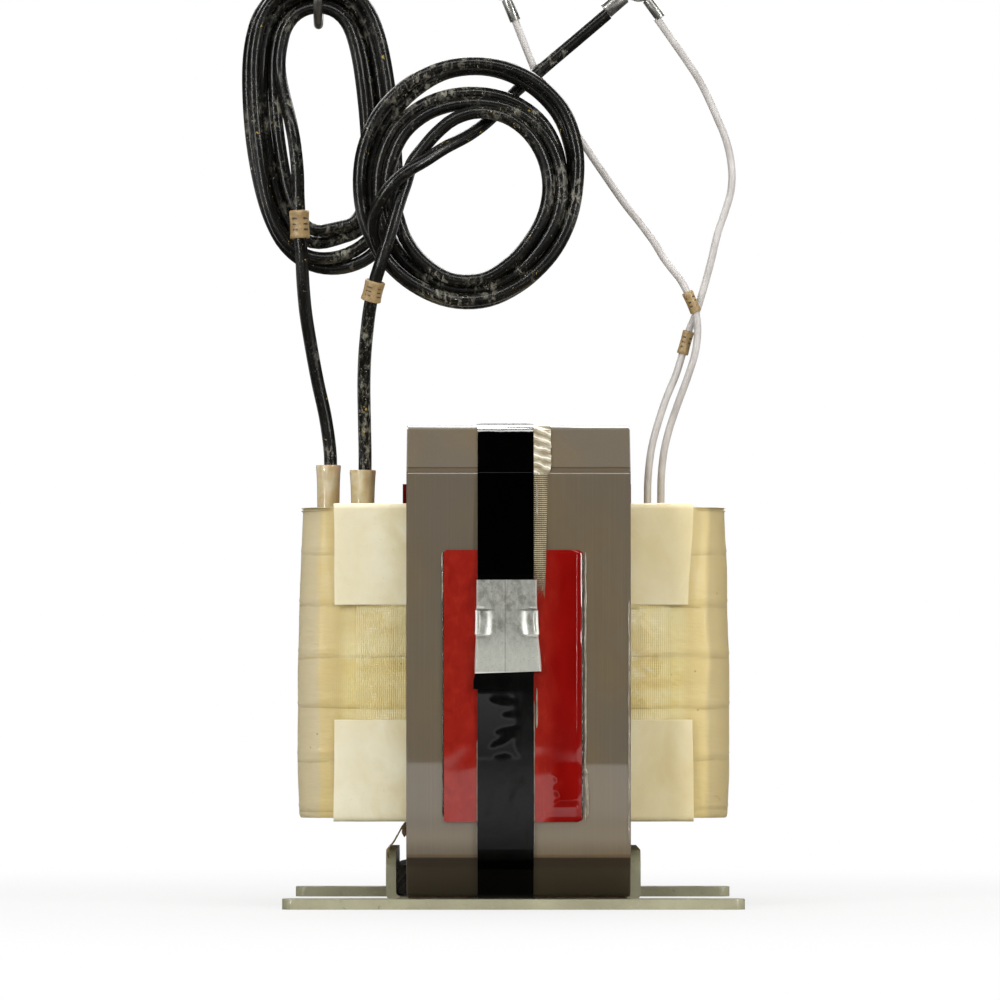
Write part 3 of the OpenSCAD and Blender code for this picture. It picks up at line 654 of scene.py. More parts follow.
def piece(name, points, faces, finish, stands_for=(), crisp=38.0, uvs=None, rounding=0.0):
    """A mesh from points in millimetres, on the body, with its finish and the CAD nodes that it replaces."""
    mesh = bpy.data.meshes.new(name)
    mesh.from_pydata([tuple(Vector(p) * MM) for p in points], [], faces)
    if uvs is not None:
        layer = mesh.uv_layers.new(name="UVMap")
        for loop in mesh.loops:
            layer.data[loop.index].uv = uvs[loop.vertex_index]
    shape = bmesh.new()
    shape.from_mesh(mesh)
    bmesh.ops.recalc_face_normals(shape, faces=shape.faces)
    for face in shape.faces:
        face.smooth = True
    for edge in shape.edges:
        if len(edge.link_faces) == 2 and edge.calc_face_angle(0) > math.radians(crisp):
            edge.smooth = False
    shape.to_mesh(mesh)
    shape.free()
    mesh.materials.append(finish.material)
    made = bpy.data.objects.new(name, mesh)
    bpy.context.scene.collection.objects.link(made)
    if rounding:
        round_edges(made, rounding)
    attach(made, "root")
    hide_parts(*stands_for)
    return made


def round_edges(made, width, segments=2, method="ANGLE", angle=40, harden=False):
    bevel = made.modifiers.new("rounding", "BEVEL")
    bevel.width = width * MM
    bevel.segments = segments
    bevel.limit_method = method
    bevel.angle_limit = math.radians(angle)
    bevel.harden_normals = harden


def slab(name, rows, columns, place, finish, stands_for=(), crisp=38.0, rounding=0.0, loop=False):
    """A piece between two grids of points: place gives the point of a row and a column on the front, 0,
    or on the back, 1; loop joins the last row to the first."""
    count, width = len(rows), len(columns)
    points = [place(row, column, back) for back in (0, 1) for row in rows for column in columns]

    def at(i, j, back):
        return (back * count + i % count) * width + j

    faces = []
    for i in range(count if loop else count - 1):
        for j in range(width - 1):
            faces += [(at(i, j, 0), at(i + 1, j, 0), at(i + 1, j + 1, 0), at(i, j + 1, 0)),
                      (at(i, j, 1), at(i, j + 1, 1), at(i + 1, j + 1, 1), at(i + 1, j, 1))]
        for j, turn in ((0, 1), (width - 1, -1)):
            faces.append((at(i, j, 0), *(at(i, j, 1), at(i + 1, j, 1), at(i + 1, j, 0))[::turn]))
    if not loop:
        for j in range(width - 1):
            for i, turn in ((0, -1), (count - 1, 1)):
                faces.append((at(i, j, 0), *(at(i, j, 1), at(i, j + 1, 1), at(i, j + 1, 0))[::turn]))
    return piece(name, points, faces, finish, stands_for, crisp, None, rounding)


def skin(rings, sides):
    """The faces of a tube, closed at its ends, whose points come ring by ring."""
    faces = []
    for i in range(rings - 1):
        for k in range(sides):
            a, b = i * sides + k, i * sides + (k + 1) % sides
            faces.append((a, b, b + sides, a + sides))
    faces.append(tuple(range(sides))[::-1])
    faces.append(tuple((rings - 1) * sides + k for k in range(sides)))
    return faces


def ripple(x, y, z, size, seed=0.0):
    """Smooth noise from -1 to 1, with features of about the given size in millimetres."""
    return noise.noise(Vector((x / size + seed, y / size - seed, z / size + 2 * seed)))


def ease(t):
    t = min(max(t, 0.0), 1.0)
    return t * t * (3 - 2 * t)


def between(a, b, t):
    return a + (b - a) * t


def spread(a, b, count):
    return [between(a, b, i / (count - 1)) for i in range(count)]


def softened(outline, reach, steps=5, closed=True):
    """An outline with each corner replaced by a curve that starts reach before it; reach may be a list."""
    out, count = [], len(outline)
    for i, corner in enumerate(outline):
        cut = reach[i] if isinstance(reach, (list, tuple)) else reach
        if cut <= 0 or (not closed and i in (0, count - 1)):
            out.append(Vector(corner))
            continue
        here = Vector(corner)
        before, after = Vector(outline[i - 1]), Vector(outline[(i + 1) % count])
        start = here + (before - here).normalized() * min(cut, (before - here).length * 0.49)
        end = here + (after - here).normalized() * min(cut, (after - here).length * 0.49)
        for k in range(steps + 1):
            t = k / steps
            out.append(start * (1 - t) ** 2 + here * 2 * t * (1 - t) + end * t * t)
    return out


def resampled(path, step, closed=False):
    """The path with points no further apart than step."""
    ends = list(path) + ([path[0]] if closed else [])
    out = []
    for a, b in zip(ends, ends[1:]):
        parts = max(1, math.ceil((b - a).length / step))
        out += [a.lerp(b, k / parts) for k in range(parts)]
    return out if closed else out + [ends[-1]]


def side_normals(path, closed=False):
    """Outward normals in the plane of a path drawn in two dimensions, anticlockwise."""
    count, out = len(path), []
    for i in range(count):
        a = path[i - 1] if closed or i else path[i]
        b = path[(i + 1) % count] if closed or i < count - 1 else path[i]
        d = (b - a).normalized()
        out.append(Vector((d.y, -d.x)))
    return out


# ---- Cords ----

def from_coil_top(points):
    """Route points as part.scad gives them, from the coil's top, as points in the frame."""
    return [Vector((x, y + Y_SHIFT, z + COIL_TOP)) for x, y, z in points]


HEAVY_D, THIN_D = 4.6, 2.6
ROUTE_A = [(-64.7, 15, -5.5), (-64.7, 15, 0), (-64.7, 15, 9), (-64.7, 15, 17), (-65, 15, 23),
           (-66.6, 14, 34), (-69.2, 12.2, 46), (-71.4, 10, 58), (-73.3, 7.5, 70), (-74.2, 5.2, 80),
           (-74.7, 4, 90), (-75.3, 4, 97), (-75.7, 4, 106), (-76, 4, 112), (-76.2, 4, 120),
           (-77.1, 4, 129), (-78.5, 4.2, 137)]
ROUTE_B = [(-51.9, -20, -5.5), (-51.9, -20, 0), (-51.9, -20, 8), (-51.8, -20, 14), (-51.8, -20.4, 21),
           (-52, -22.6, 32), (-52.1, -26, 44), (-51.6, -30.5, 55), (-50.4, -35, 66), (-49.4, -37.6, 72),
           (-47.9, -39.4, 79), (-46, -41, 85), (-42.3, -41.5, 97), (-39.7, -40.4, 106), (-37.4, -38.6, 113),
           (-35.2, -36.8, 120)]
ROUTE_C = [(47.4, 0, -5.5), (47.4, 0, 0), (47.4, 0, 5), (47.6, 0, 12), (48.7, 0, 21.5), (50.8, 0, 30),
           (54.1, 0, 40), (57.4, 0, 48), (59.9, 0, 56), (61.8, 0, 63), (64.4, 0, 69.5), (67.2, 0, 78.5),
           (69.8, 0, 88), (72.2, 0, 98), (74.9, 0, 106), (76.8, 0, 112.5), (77.3, 0, 119), (76.5, 0, 126),
           (74.7, -0.5, 132.5), (71.9, -1.6, 139), (68.7, -3, 146), (65.5, -5, 152), (61.4, -7.5, 158),
           (55.9, -11, 165.5), (50.4, -13.5, 173)]
ROUTE_D = [(52.1, 0, -5.5), (52.1, 0, 0), (52.1, 0, 5), (52.3, 0, 13), (53.3, 0, 21.5), (55.4, -0.6, 30),
           (58.8, -2, 39.8), (61.8, -3, 48), (64.2, -3.6, 56), (65, -4, 63.5), (64.4, -4, 69.8),
           (62.6, -4, 74.5), (59.4, -4, 80.8), (56.2, -4, 85), (53, -4.2, 89.2), (49.4, -5, 95),
           (44.3, -6.2, 101.8), (38.9, -8, 108.5), (30.5, -11, 120.3), (24.5, -13, 129),
           (16.4, -14.4, 140.8), (8.7, -15, 152.3), (6.6, -15, 157), (3.6, -15, 164.5), (0.7, -15, 172)]
TAIL_A = [(-51.3, 23.2, 176.2), (-51, 24.2, 174.5), (-50.7, 24.4, 171.5), (-50.2, 24.3, 165),
          (-50, 24.2, 159.5), (-50, 24.2, 154)]
TAIL_B = [(-43.6, -34.5, 86), (-47.4, -36.2, 93), (-48.4, -38.4, 99), (-47.3, -40.6, 104.2),
          (-44.4, -42.4, 109.3), (-40.8, -43.4, 113.4), (-35.9, -43.2, 117.4), (-30.7, -41.4, 120.6),
          (-23.7, -38, 125.4), (-15, -32.5, 130.6), (-7.4, -26.5, 137.1), (1, -20.8, 146.7),
          (4.4, -18.5, 149.6), (8.6, -17.7, 153.3), (12.8, -17.6, 157), (23.4, -17.2, 166), (33, -17, 174.2)]

# Each route comes to the coil's top at its second place.
EXIT_A, EXIT_B, EXIT_C, EXIT_D = (route[1] for route in (ROUTE_A, ROUTE_B, ROUTE_C, ROUTE_D))


def curve(a, b, c, d, t):
    """A Catmull-Rom curve from b at 0 to c at 1."""
    return 0.5 * (2 * b + (c - a) * t + (2 * a - 5 * b + 4 * c - d) * t * t
                  + (3 * b - a - 3 * c + d) * t ** 3)


def smooth_line(points, step):
    """A Catmull-Rom curve through the points, sampled at about the given step."""
    ends = [2 * points[0] - points[1]] + list(points) + [2 * points[-1] - points[-2]]
    out = []
    for i in range(1, len(ends) - 2):
        p0, p1, p2, p3 = ends[i - 1:i + 3]
        parts = max(1, round((p2 - p1).length / step))
        for k in range(parts):
            out.append(curve(p0, p1, p2, p3, k / parts))
    return out + [points[-1]]


def round_value(values, turn):
    """A value at a place round a turn, from 0 to 1, smooth between evenly spaced values."""
    count = len(values)
    place = (turn % 1.0) * count
    i, t = int(place), place - int(place)
    return curve(*(values[(i + k) % count] for k in (-1, 0, 1, 2)), t)


def settled(points, d, fixed_start, fixed_end, y_low, y_high, rounds=160):
    """Presses the turns of a coil apart until no two lie in each other, mostly front to back."""
    line = np.array([tuple(p) for p in points])
    start = line.copy()
    count = len(line)
    free = np.ones(count)
    free[:fixed_start] = 0
    free[count - fixed_end:] = 0
    step = np.linalg.norm(np.diff(line, axis=0), axis=1).mean()
    apart = int(2.5 * d / step)
    i, j = np.triu_indices(count, apart)
    easy = np.array([0.35, 1.0, 0.35])
    for _ in range(rounds):
        gap = line[i] - line[j]
        far = np.linalg.norm(gap, axis=1)
        close = far < d
        if not close.any():
            break
        a, b = i[close], j[close]
        push = gap[close] / (far[close, None] + 1e-6) * (d * 1.01 - far[close, None]) * 0.5
        push[:, 1] += np.where(np.abs(push[:, 1]) < 0.05, np.where(a < b, 0.04, -0.04), 0)
        move = np.zeros_like(line)
        np.add.at(move, a, push * easy)
        np.add.at(move, b, -push * easy)
        offset = line - start + np.clip(move, -0.6, 0.6)
        for _ in range(2):
            offset[1:-1] = 0.5 * offset[1:-1] + 0.25 * (offset[:-2] + offset[2:])
        offset *= free[:, None]
        line = start + offset
        line[:, 1] = np.clip(line[:, 1], np.minimum(start[:, 1], y_low), np.maximum(start[:, 1], y_high))
    return [Vector(p) for p in line]


def wound(steps, per_turn, inner, outer, parted, tight, open_up, depth, cross_at, cross_over, tuck=0.0):
    """A coil's turns, up the left and over the top, as (angle, distance out, depth) place by place.

    Eighths of a turn from the left say how far out the innermost and outermost turns lie, and how far
    the turns part from their tight order into the open one; tuck draws the first turn's start inwards."""
    for k in steps:
        turn, whole = (k / per_turn) % 1.0, int(k / per_turn)
        after = min(whole + 1, len(depth) - 1)
        gather = round_value(parted, turn)
        shares = [between(a, b, gather) for a, b in zip(tight, open_up)]
        share = between(shares[whole], shares[after], ease((turn - cross_at) / cross_over))
        deep = between(depth[whole], depth[after], ease((turn - 0.3) / 0.7))
        if tuck and whole == 0:
            share = min(share, -tuck * (1 - ease((turn - 0.12) / 0.26)))
        r = between(round_value(inner, turn), round_value(outer, turn), share)
        yield math.pi - 2 * math.pi * turn, r, deep


def coil_b_turns():
    """Five turns seen from the front, in two bands at the top; the first starts inside the others."""
    centre = Vector((-15.7, -30 + Y_SHIFT, COIL_TOP + 112.5))
    places = wound(range(2, 88), 18,
                   inner=[25.6, 26.0, 28.2, 28.9, 29.6, 30.3, 34.1, 29.2],
                   outer=[37.9, 40.6, 43.0, 43.1, 37.8, 37.9, 40.0, 38.6],
                   parted=[0.0, 0.1, 1.0, 0.55, 0.0, 0.0, 0.0, 0.0],
                   tight=[0.0, 0.22, 0.45, 0.72, 1.0, 1.0], open_up=[0.0, 0.02, 0.30, 0.92, 1.0, 1.0],
                   depth=[-5.5, -2.5, 1.0, 4.5, 2.0, -4.5], cross_at=0.45, cross_over=0.5, tuck=0.39)
    return [centre + Vector((r * math.cos(angle), deep, r * math.sin(angle))) for angle, r, deep in places]


def coil_a_turns():
    """Four long turns that hang from the left hook, in two bands at the bottom."""
    centre = Vector((-66.4, 15 + Y_SHIFT, COIL_TOP + 138))
    lean = math.radians(-5.8)
    half = 27.0
    places = wound(range(1, 94), 22,
                   inner=[15.2, 14.6, 14.5, 14.8, 14.2, 12.0, 10.2, 13.4],
                   outer=[26.2, 25.2, 24.4, 24.8, 24.5, 24.2, 24.0, 25.0],
                   parted=[0.0, 0.0, 0.0, 0.0, 0.0, 0.5, 1.0, 0.5],
                   tight=[0.0, 0.22, 0.6, 0.9, 1.0], open_up=[0.0, 0.0, 0.40, 1.03, 0.94],
                   depth=[-3.2, 0.5, 2.8, -1.5, 3.0], cross_at=0.4, cross_over=0.6)
    points = []
    for angle, r, deep in places:
        across = r * math.cos(angle)
        up = r * math.sin(angle) + half * math.tanh(2.2 * math.sin(angle)) / math.tanh(2.2)
        points.append(centre + Vector((across * math.cos(lean) + up * math.sin(lean), deep,
                                       up * math.cos(lean) - across * math.sin(lean))))
    return points


def tube(name, line, d, finish, sides=16):
    """A round tube along a line, with its length in millimetres as u and the way round it as v."""
    points, uvs = [], []
    along = (line[1] - line[0]).normalized()
    up = along.cross(Vector((1, 0, 0))).normalized()
    run = 0.0
    for i, here in enumerate(line):
        ahead = (line[min(i + 1, len(line) - 1)] - line[max(i - 1, 0)]).normalized()
        up = (up - ahead * up.dot(ahead)).normalized()
        side = ahead.cross(up)
        run += (here - line[i - 1]).length if i else 0.0
        for k in range(sides):
            a = 2 * math.pi * k / sides
            points.append(here + (up * math.cos(a) + side * math.sin(a)) * d / 2)
            uvs.append((run * MM, k / sides * math.pi * d * MM))
    return piece(name, points, skin(len(line), sides), finish, (), 60, uvs)


def line_length(line):
    return sum((b - a).length for a, b in zip(line, line[1:]))


def lead(name, route, exit_at, d, finish, nodes, turns=(), tail=(), depths=None):
    """One flying lead from the coil's top to its lug."""
    start, end = from_coil_top(route), from_coil_top(tail)
    line = smooth_line(start + list(turns) + end, 0.55 * d)
    if turns:
        step = line_length(line) / (len(line) - 1)
        line = settled(line, d, int(line_length(start) / step), int(line_length(end) / step), *depths)
    made = tube(name, line, d, finish)
    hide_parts(*nodes)
    from_coil_top([exit_at])[0] * MM
    round(line_length(line) * MM, 3)
    [tuple(p * MM) for p in line]
    return line


# ---- Wire markers and sleeves ----

def round_shell(name, centre, lean, rings, bore, finish, nodes, sides=40, bore_shift=(0, 0)):
    """A short tube turned from rings of (height, outer radius), leaning about X and Y, with a bore."""
    profile = [(z, r) for z, r in rings] + [(z, b) for z, b in reversed(bore)]
    points, uvs = [], []
    turn_x, turn_y = math.radians(lean[0]), math.radians(lean[1])
    z0, z1 = rings[0][0], rings[-1][0]
    for k in range(sides):
        a = 2 * math.pi * k / sides
        for n, (z, r) in enumerate(profile):
            shift = bore_shift if n >= len(rings) else (0, 0)
            p = Vector((r * math.cos(a) + shift[0], r * math.sin(a) + shift[1], z))
            p = Vector((p.x * math.cos(turn_y) + p.z * math.sin(turn_y), p.y,
                        p.z * math.cos(turn_y) - p.x * math.sin(turn_y)))
            p = Vector((p.x, p.y * math.cos(turn_x) - p.z * math.sin(turn_x),
                        p.y * math.sin(turn_x) + p.z * math.cos(turn_x)))
            points.append(centre + p)
            uvs.append(((z - z0) / (z1 - z0), k / sides))
    count = len(profile)
    after = [(n + 1) % count for n in range(count)]
    starts = [(k * count, (k + 1) % sides * count) for k in range(sides)]
    faces = [(a + n, a + after[n], b + after[n], b + n) for a, b in starts for n in range(count)]
    piece(name, points, faces, finish, nodes, 50, uvs)


def marker(node, at, lean, cable_d, wall, height, finish):
    """A heat-shrunk marker tube: its ends are a little wider and its edges worn round."""
    r = cable_d / 2 + 0.15
    steps = [(-0.5, 0.75), (-0.47, 1.0), (-0.38, 0.98), (-0.2, 0.86), (0.0, 0.82), (0.22, 0.88), (0.4, 1.0),
             (0.47, 0.98), (0.5, 0.75)]
    rings = [(height * h, r + wall * w) for h, w in steps]
    bore = [(-height / 2, r + 0.1), (height / 2, r + 0.1)]
    round_shell(node + "_tube", from_coil_top([at])[0], lean, rings, bore, finish, [node])


def sleeve(node, exit_at, height, radii, finish, aside):
    """A flared sleeve round a heavy lead where it leaves the coil; it sits a little to the lead's left."""
    at = (exit_at[0] - aside, exit_at[1], exit_at[2])
    rings = [(height * h, r) for h, r in radii]
    bore = [(0, 2.6), (height * 0.7, 2.6), (height, 2.9)]
    round_shell(node + "_flared", from_coil_top([at])[0], (0, 0), rings, bore, finish, [node], 48, (aside, 0))


# ---- Core ----

def core_half(name, upper, finish):
    """One C of a core loop: bent corners with a small radius, and edges eased by the varnish."""
    lo, hi = node_box(name)
    joint, end = (lo.z, CORE_TOP) if upper else (hi.z, lo.z)
    inward = -1 if upper else 1
    cut = CUT_TOP if upper else CUT_BOTTOM
    cut_z = end + inward * cut
    sill = end + inward * CORE_BUILD
    near, far = lo.y + CORE_BUILD, hi.y - CORE_BUILD
    outline = [(lo.y, joint), (lo.y, cut_z), (lo.y + cut, end), (hi.y - cut, end), (hi.y, cut_z),
               (hi.y, joint), (far, joint), (far, sill), (near, sill), (near, joint)]
    reach = [0, 0.9, 2.2, 2.2, 0.9, 0, 0, 1.2, 1.2, 0]
    ring = softened(outline, reach, 5)
    points = [Vector((x, p.x, p.y)) for x in (lo.x, hi.x) for p in ring]
    count = len(ring)
    faces = [tuple(range(count)), tuple(range(2 * count - 1, count - 1, -1))]
    faces += [(k, (k + 1) % count, count + (k + 1) % count, count + k) for k in range(count)]
    made = piece(name + "_varnished", points, faces, finish, [name], 30)
    mesh = made.data
    weights = mesh.attributes.new("bevel_weight_edge", "FLOAT", "EDGE")
    for edge in mesh.edges:
        a, b = (mesh.vertices[v].co / MM for v in edge.vertices)
        at_joint = abs(a.z - joint) < 0.01 and abs(b.z - joint) < 0.01
        at_side = abs(a.x - b.x) < 0.01 and (abs(a.x - lo.x) < 0.01 or abs(a.x - hi.x) < 0.01)
        weights.data[edge.index].value = 1.0 if at_side and not at_joint else 0.0
    round_edges(made, 0.35, method="WEIGHT")
    flat = made.modifiers.new("flat", "WEIGHTED_NORMAL")
    flat.keep_sharp = True
    return made


def make_core():
    made = {}
    for loop, side in (("front", -1), ("rear", 1)):
        finish = core_steel(side)
        for half in ("lower", "upper"):
            name = f"{loop}_core_{half}"
            made[name] = core_half(name, half == "upper", finish)
    return made


# ---- Band, seal, pad and tape ----

PAD_T = PAD_HI.y - PAD_LO.y
SEAL_WALL = 0.9
SEAL_Z0, SEAL_Z1 = BAND_LO.z, BAND_HI.z
SEAL_LOW = SEAL_Z0 + 1.5
BAND_GREY_Z0, BAND_GREY_Z1 = 50.5, 73.4
BAND_BLOTS = ((-0.6, 70.6, 5.4, 1.7, -0.1), (1.9, 66.0, 3.4, 1.5, 0.0), (0.6, 60.6, 4.6, 1.5, 0.22),
              (-1.2, 57.0, 4.8, 1.6, 0.45), (-1.0, 51.9, 3.4, 1.2, 0.05), (-7.0, 75.6, 4.0, 1.8, 0.0))
CRIMP_Z0, CRIMP_Z1 = 93.1, 101.9


def band_slope(x, z):
    """How far the band leans forward below the seal, where its lacquer mirrors the table, as a slope."""
    u = x - BAND_X + 0.5 * ripple(x, 0, z, 2.2, 3.1)
    v = z + 0.35 * ripple(x, 0, z, 1.9, 7.7)
    right = 3.1 + 0.9 * ripple(0, 0, z, 3.0, 5.0) + 1.5 * ease((54 - z) / 3)
    grey = ease((right - u) / 1.1 + 0.5)
    grey *= ease((BAND_GREY_Z1 - v) / 1.2)
    grey *= ease((v - BAND_GREY_Z0) / 1.5)
    for at_x, at_z, half_x, half_z, tilt in BAND_BLOTS:
        across, along = u - at_x, v - at_z - tilt * (u - at_x)
        clear = ease(((across / half_x) ** 2 + (along / half_z) ** 2 - 0.7) / 0.5)
        grey = grey * clear - 0.35 * (1 - clear)
    return 0.019 * grey


def band_lean(x, z):
    """How far the band stands off below the seal: its slope, added up from the pad."""
    step = 0.35
    count = max(0, int((z - BAND_GREY_Z0) / step))
    return sum(band_slope(x, BAND_GREY_Z0 + k * step) for k in range(count)) * step


def under_crimp(z):
    """Half the band's width at a height: it folds in where the seal is crimped."""
    return BAND_W / 2 - 4.6 * ease(z - CRIMP_Z0 + 1.5) * ease(CRIMP_Z1 + 1.5 - z)


def banding_strap(finish):
    """The steel band, in one closed run round the core."""
    half = BAND_T / 2
    y0, y1, z0, z1 = CORE_FRONT - half, 2 * Y_SHIFT - CORE_FRONT + half, CORE_Z0 - half, CORE_TOP + half
    low, high = CUT_BOTTOM + half * (2 - math.sqrt(2)), CUT_TOP + half * (2 - math.sqrt(2))
    on_pad, on_seal = y0 - PAD_T, y0 - PAD_T - SEAL_WALL
    outline = [(y0 + low, z0), (y1 - low, z0), (y1, z0 + low), (y1, z1 - high), (y1 - high, z1),
               (y0 + high, z1), (y0, z1 - high), (on_pad, PAD_HI.z + 1), (on_pad, SEAL_Z1 + 8),
               (on_seal, SEAL_Z1 + 2), (on_seal, SEAL_LOW + 1.0), (on_pad, SEAL_LOW - 1.2),
               (on_pad, z0 + low + PAD_T)]
    reach = [2.2, 2.2, 2.2, 2.2, 3.0, 4.8, 0.5, 3, 2, 2, 0.7, 0.7, 1.2]
    path = resampled(softened(outline, reach, 8), 0.7, closed=True)
    normals = side_normals(path, closed=True)
    outward = 1 if normals[0].y < 0 else -1

    def place(row, u, back):
        p, n = row
        front = p.x < y0 + 1 and SEAL_Z0 - 60 < p.y < SEAL_Z1
        x = BAND_X + u * (under_crimp(p.y) if front else BAND_W / 2)
        push = band_lean(x, min(p.y, BAND_GREY_Z1 + 1)) if front and p.y < SEAL_LOW else 0.0
        offset = (-outward if back else outward) * half
        return x, p.x + n.x * offset - push, p.y + n.y * offset

    return slab("banding_strap_painted", list(zip(path, normals)), spread(-1, 1, 41), place, finish,
                ["banding_strap"], 40, 0.12, loop=True)


def band_end(finish):
    """The lapped outer end of the band, which shows as a lip at the seal's lower left."""
    y_face = CORE_FRONT - PAD_T - SEAL_WALL - 2 * BAND_T

    def place(z, u, back):
        out_left = 1.45 * ease((SEAL_Z0 - z + 4) / 6)
        curl = 0.3 * ease((SEAL_Z0 - z) / 5)
        y = y_face + BAND_T - 0.02 if back else y_face
        return (BAND_X + u * under_crimp(z) - out_left * (1 - u) / 2, y - curl * (1 - u) * 0.5,
                z - 0.5 * u * ease((SEAL_Z0 - z) / 4))

    slab("band_lapped_end", spread(SEAL_Z1 + 1.5, SEAL_Z0 - 4.6, 40), spread(-1, 1, 13), place, finish,
         (), 40, 0.12)


def seal_section(z):
    """The seal's outside at a height, from its rear left edge round the front to its rear right one."""
    t = (z - SEAL_LOW) / (SEAL_Z1 - SEAL_LOW)
    front, rear = BAND_LO.y, BAND_HI.y
    notch = ease((z - CRIMP_Z0) / 0.35) * ease((CRIMP_Z1 - z) / 0.35)
    bow = math.sin(math.pi * min(max((z - CRIMP_Z0) / (CRIMP_Z1 - CRIMP_Z0), 0), 1))
    flap = (math.exp(-((z - CRIMP_Z1 - 0.35) / 0.4) ** 2)
            + 0.8 * math.exp(-((z - CRIMP_Z0 + 0.35) / 0.35) ** 2))
    flare = ease((0.62 - t) / 0.62)
    sides = []
    for side, w in ((-1, 9.9 + 0.6 * flare), (1, 10.65 + 1.45 * flare)):
        plain = [(w - 3.4, rear - 0.05), (w - 0.4, rear - 0.05), (w, rear - 0.5), (w, rear - 1.1),
                 (w, front + 1.15), (w - 0.08, front + 0.62), (w - 0.42, front + 0.18),
                 (w - 1.0, front + 0.02), (w - 2.1, front), (w - 3.2, front), (w - 4.4, front),
                 (w - 5.6, front), (3.2, front)]
        edge = w - 1.0 + 0.25 * (1 - bow)
        bent = [(w - 3.4, rear - 0.05), (w + 0.15, rear - 0.05), (w + 0.4, rear - 0.4),
                (w - 0.1, rear - 0.75), (edge - 0.05, rear - 0.9), (edge - 0.1, front + 1.65),
                (edge, front + 1.35), (edge - 0.45, front + 1.15), (edge - 1.3, front + 1.15),
                (edge - 2.3, front + 1.0), (edge - 3.3, front + 0.62), (edge - 4.2, front + 0.18),
                (edge - 5.3, front)]
        part = []
        for (x0, y0), (x1, y1) in zip(plain, bent):
            x, y = between(x0, x1, notch), between(y0, y1, notch)
            out = 0.42 * flap * ease((x - w + 4.2) / 2.6) * (1 - notch) * ease((rear - y - 0.6) / 1.2)
            part.append((side * (x + 0.25 * out), y - out))
        sides.append(part)
    left, right = sides
    middle = [(-1.2, front), (-0.55, front + 0.02), (-0.15, front + 0.12), (0.3, front - 0.02), (1.2, front)]
    return [Vector((BAND_X + x, y)) for x, y in left + middle + right[::-1]]


def strap_seal(finish):
    """The crimped seal: a sleeve round the band's lap, flared below, with a pressed notch at each side."""
    heights = spread(SEAL_LOW, SEAL_Z1, 130)
    sections = [seal_section(z) for z in heights]
    rows = list(zip(heights, sections, [side_normals(section) for section in sections]))
    count = len(sections[0])
    outward = 1 if side_normals(seal_section(SEAL_Z0))[count // 2].y < 0 else -1

    def place(row, n, back):
        z, section, normals = row
        q = section[n] - normals[n] * (outward * 0.5 if back else 0)
        rise = 0.35 * ((section[n].x - BAND_X) / 10) * ease((SEAL_LOW + 6 - z) / 6)
        dent = 0.03 * ripple(q.x, 0, z, 4.2, 3.1) if 4 <= n < count - 4 else 0
        return q.x, q.y + dent, z + rise

    return slab("strap_seal_crimped", rows, range(count), place, finish, ["strap_seal"], 33, 0.08)


def wet_drop(x, z):
    """The thick drop of lacquer low on the pad: it leans back from its lower edge."""
    low = 36.8 + 0.5 * ripple(x, 0, 0, 9, 5.0)
    run = (z - low) / 12.5
    if run < -0.12 or run > 1:
        return 0.0
    left = 13.6 + 1.6 * ripple(0, 0, z, 4, 2.0)
    sides = ease((x - left) / 1.2) * ease((22.0 - x) / 1.0)
    return 0.24 * sides * ease((run + 0.12) / 0.12) * (1 - max(run, 0))


def seal_pad(finish):
    """The red pad: flat at the left, rolled over at the right, with round corners and a drop of lacquer."""
    def inset(z, radius):
        """How far a round corner pulls the side in at a height."""
        near = min(z - PAD_LO.z, PAD_HI.z - z)
        below = max(0.0, 1 - near / radius)
        return radius * (1 - math.sqrt(max(0.0, 1 - below * below)))

    def place(z, u, back):
        x0, x1 = PAD_LO.x + inset(z, 0.8), PAD_HI.x - inset(z, 1.6) + 0.12 * ripple(0, 0, z, 11, 2.0)
        x = between(x0, x1, u)
        if back:
            return x, PAD_HI.y, z
        roll = max(0.0, 1 - (x1 - x) / 2.3)
        top = max(0.0, 1 - (PAD_HI.z - z) / 1.6)
        low = max(0.0, 1 - (z - PAD_LO.z) / 1.2)
        y = PAD_LO.y + 0.05 + 0.62 * roll ** 2 + 0.3 * max(top, low) ** 2 * ease((x - 10) / 6)
        y += 0.012 * ripple(x, 0, z, 8, 4.0) - wet_drop(x, z) * 0.9
        y -= 0.05 * math.exp(-((x1 - x - 2.6) / 0.8) ** 2)
        return x, y, z

    return slab("seal_pad_lacquered", spread(PAD_LO.z, PAD_HI.z, 150), spread(0, 1, 110), place, finish,
                ["seal_pad"], 50, 0.12)


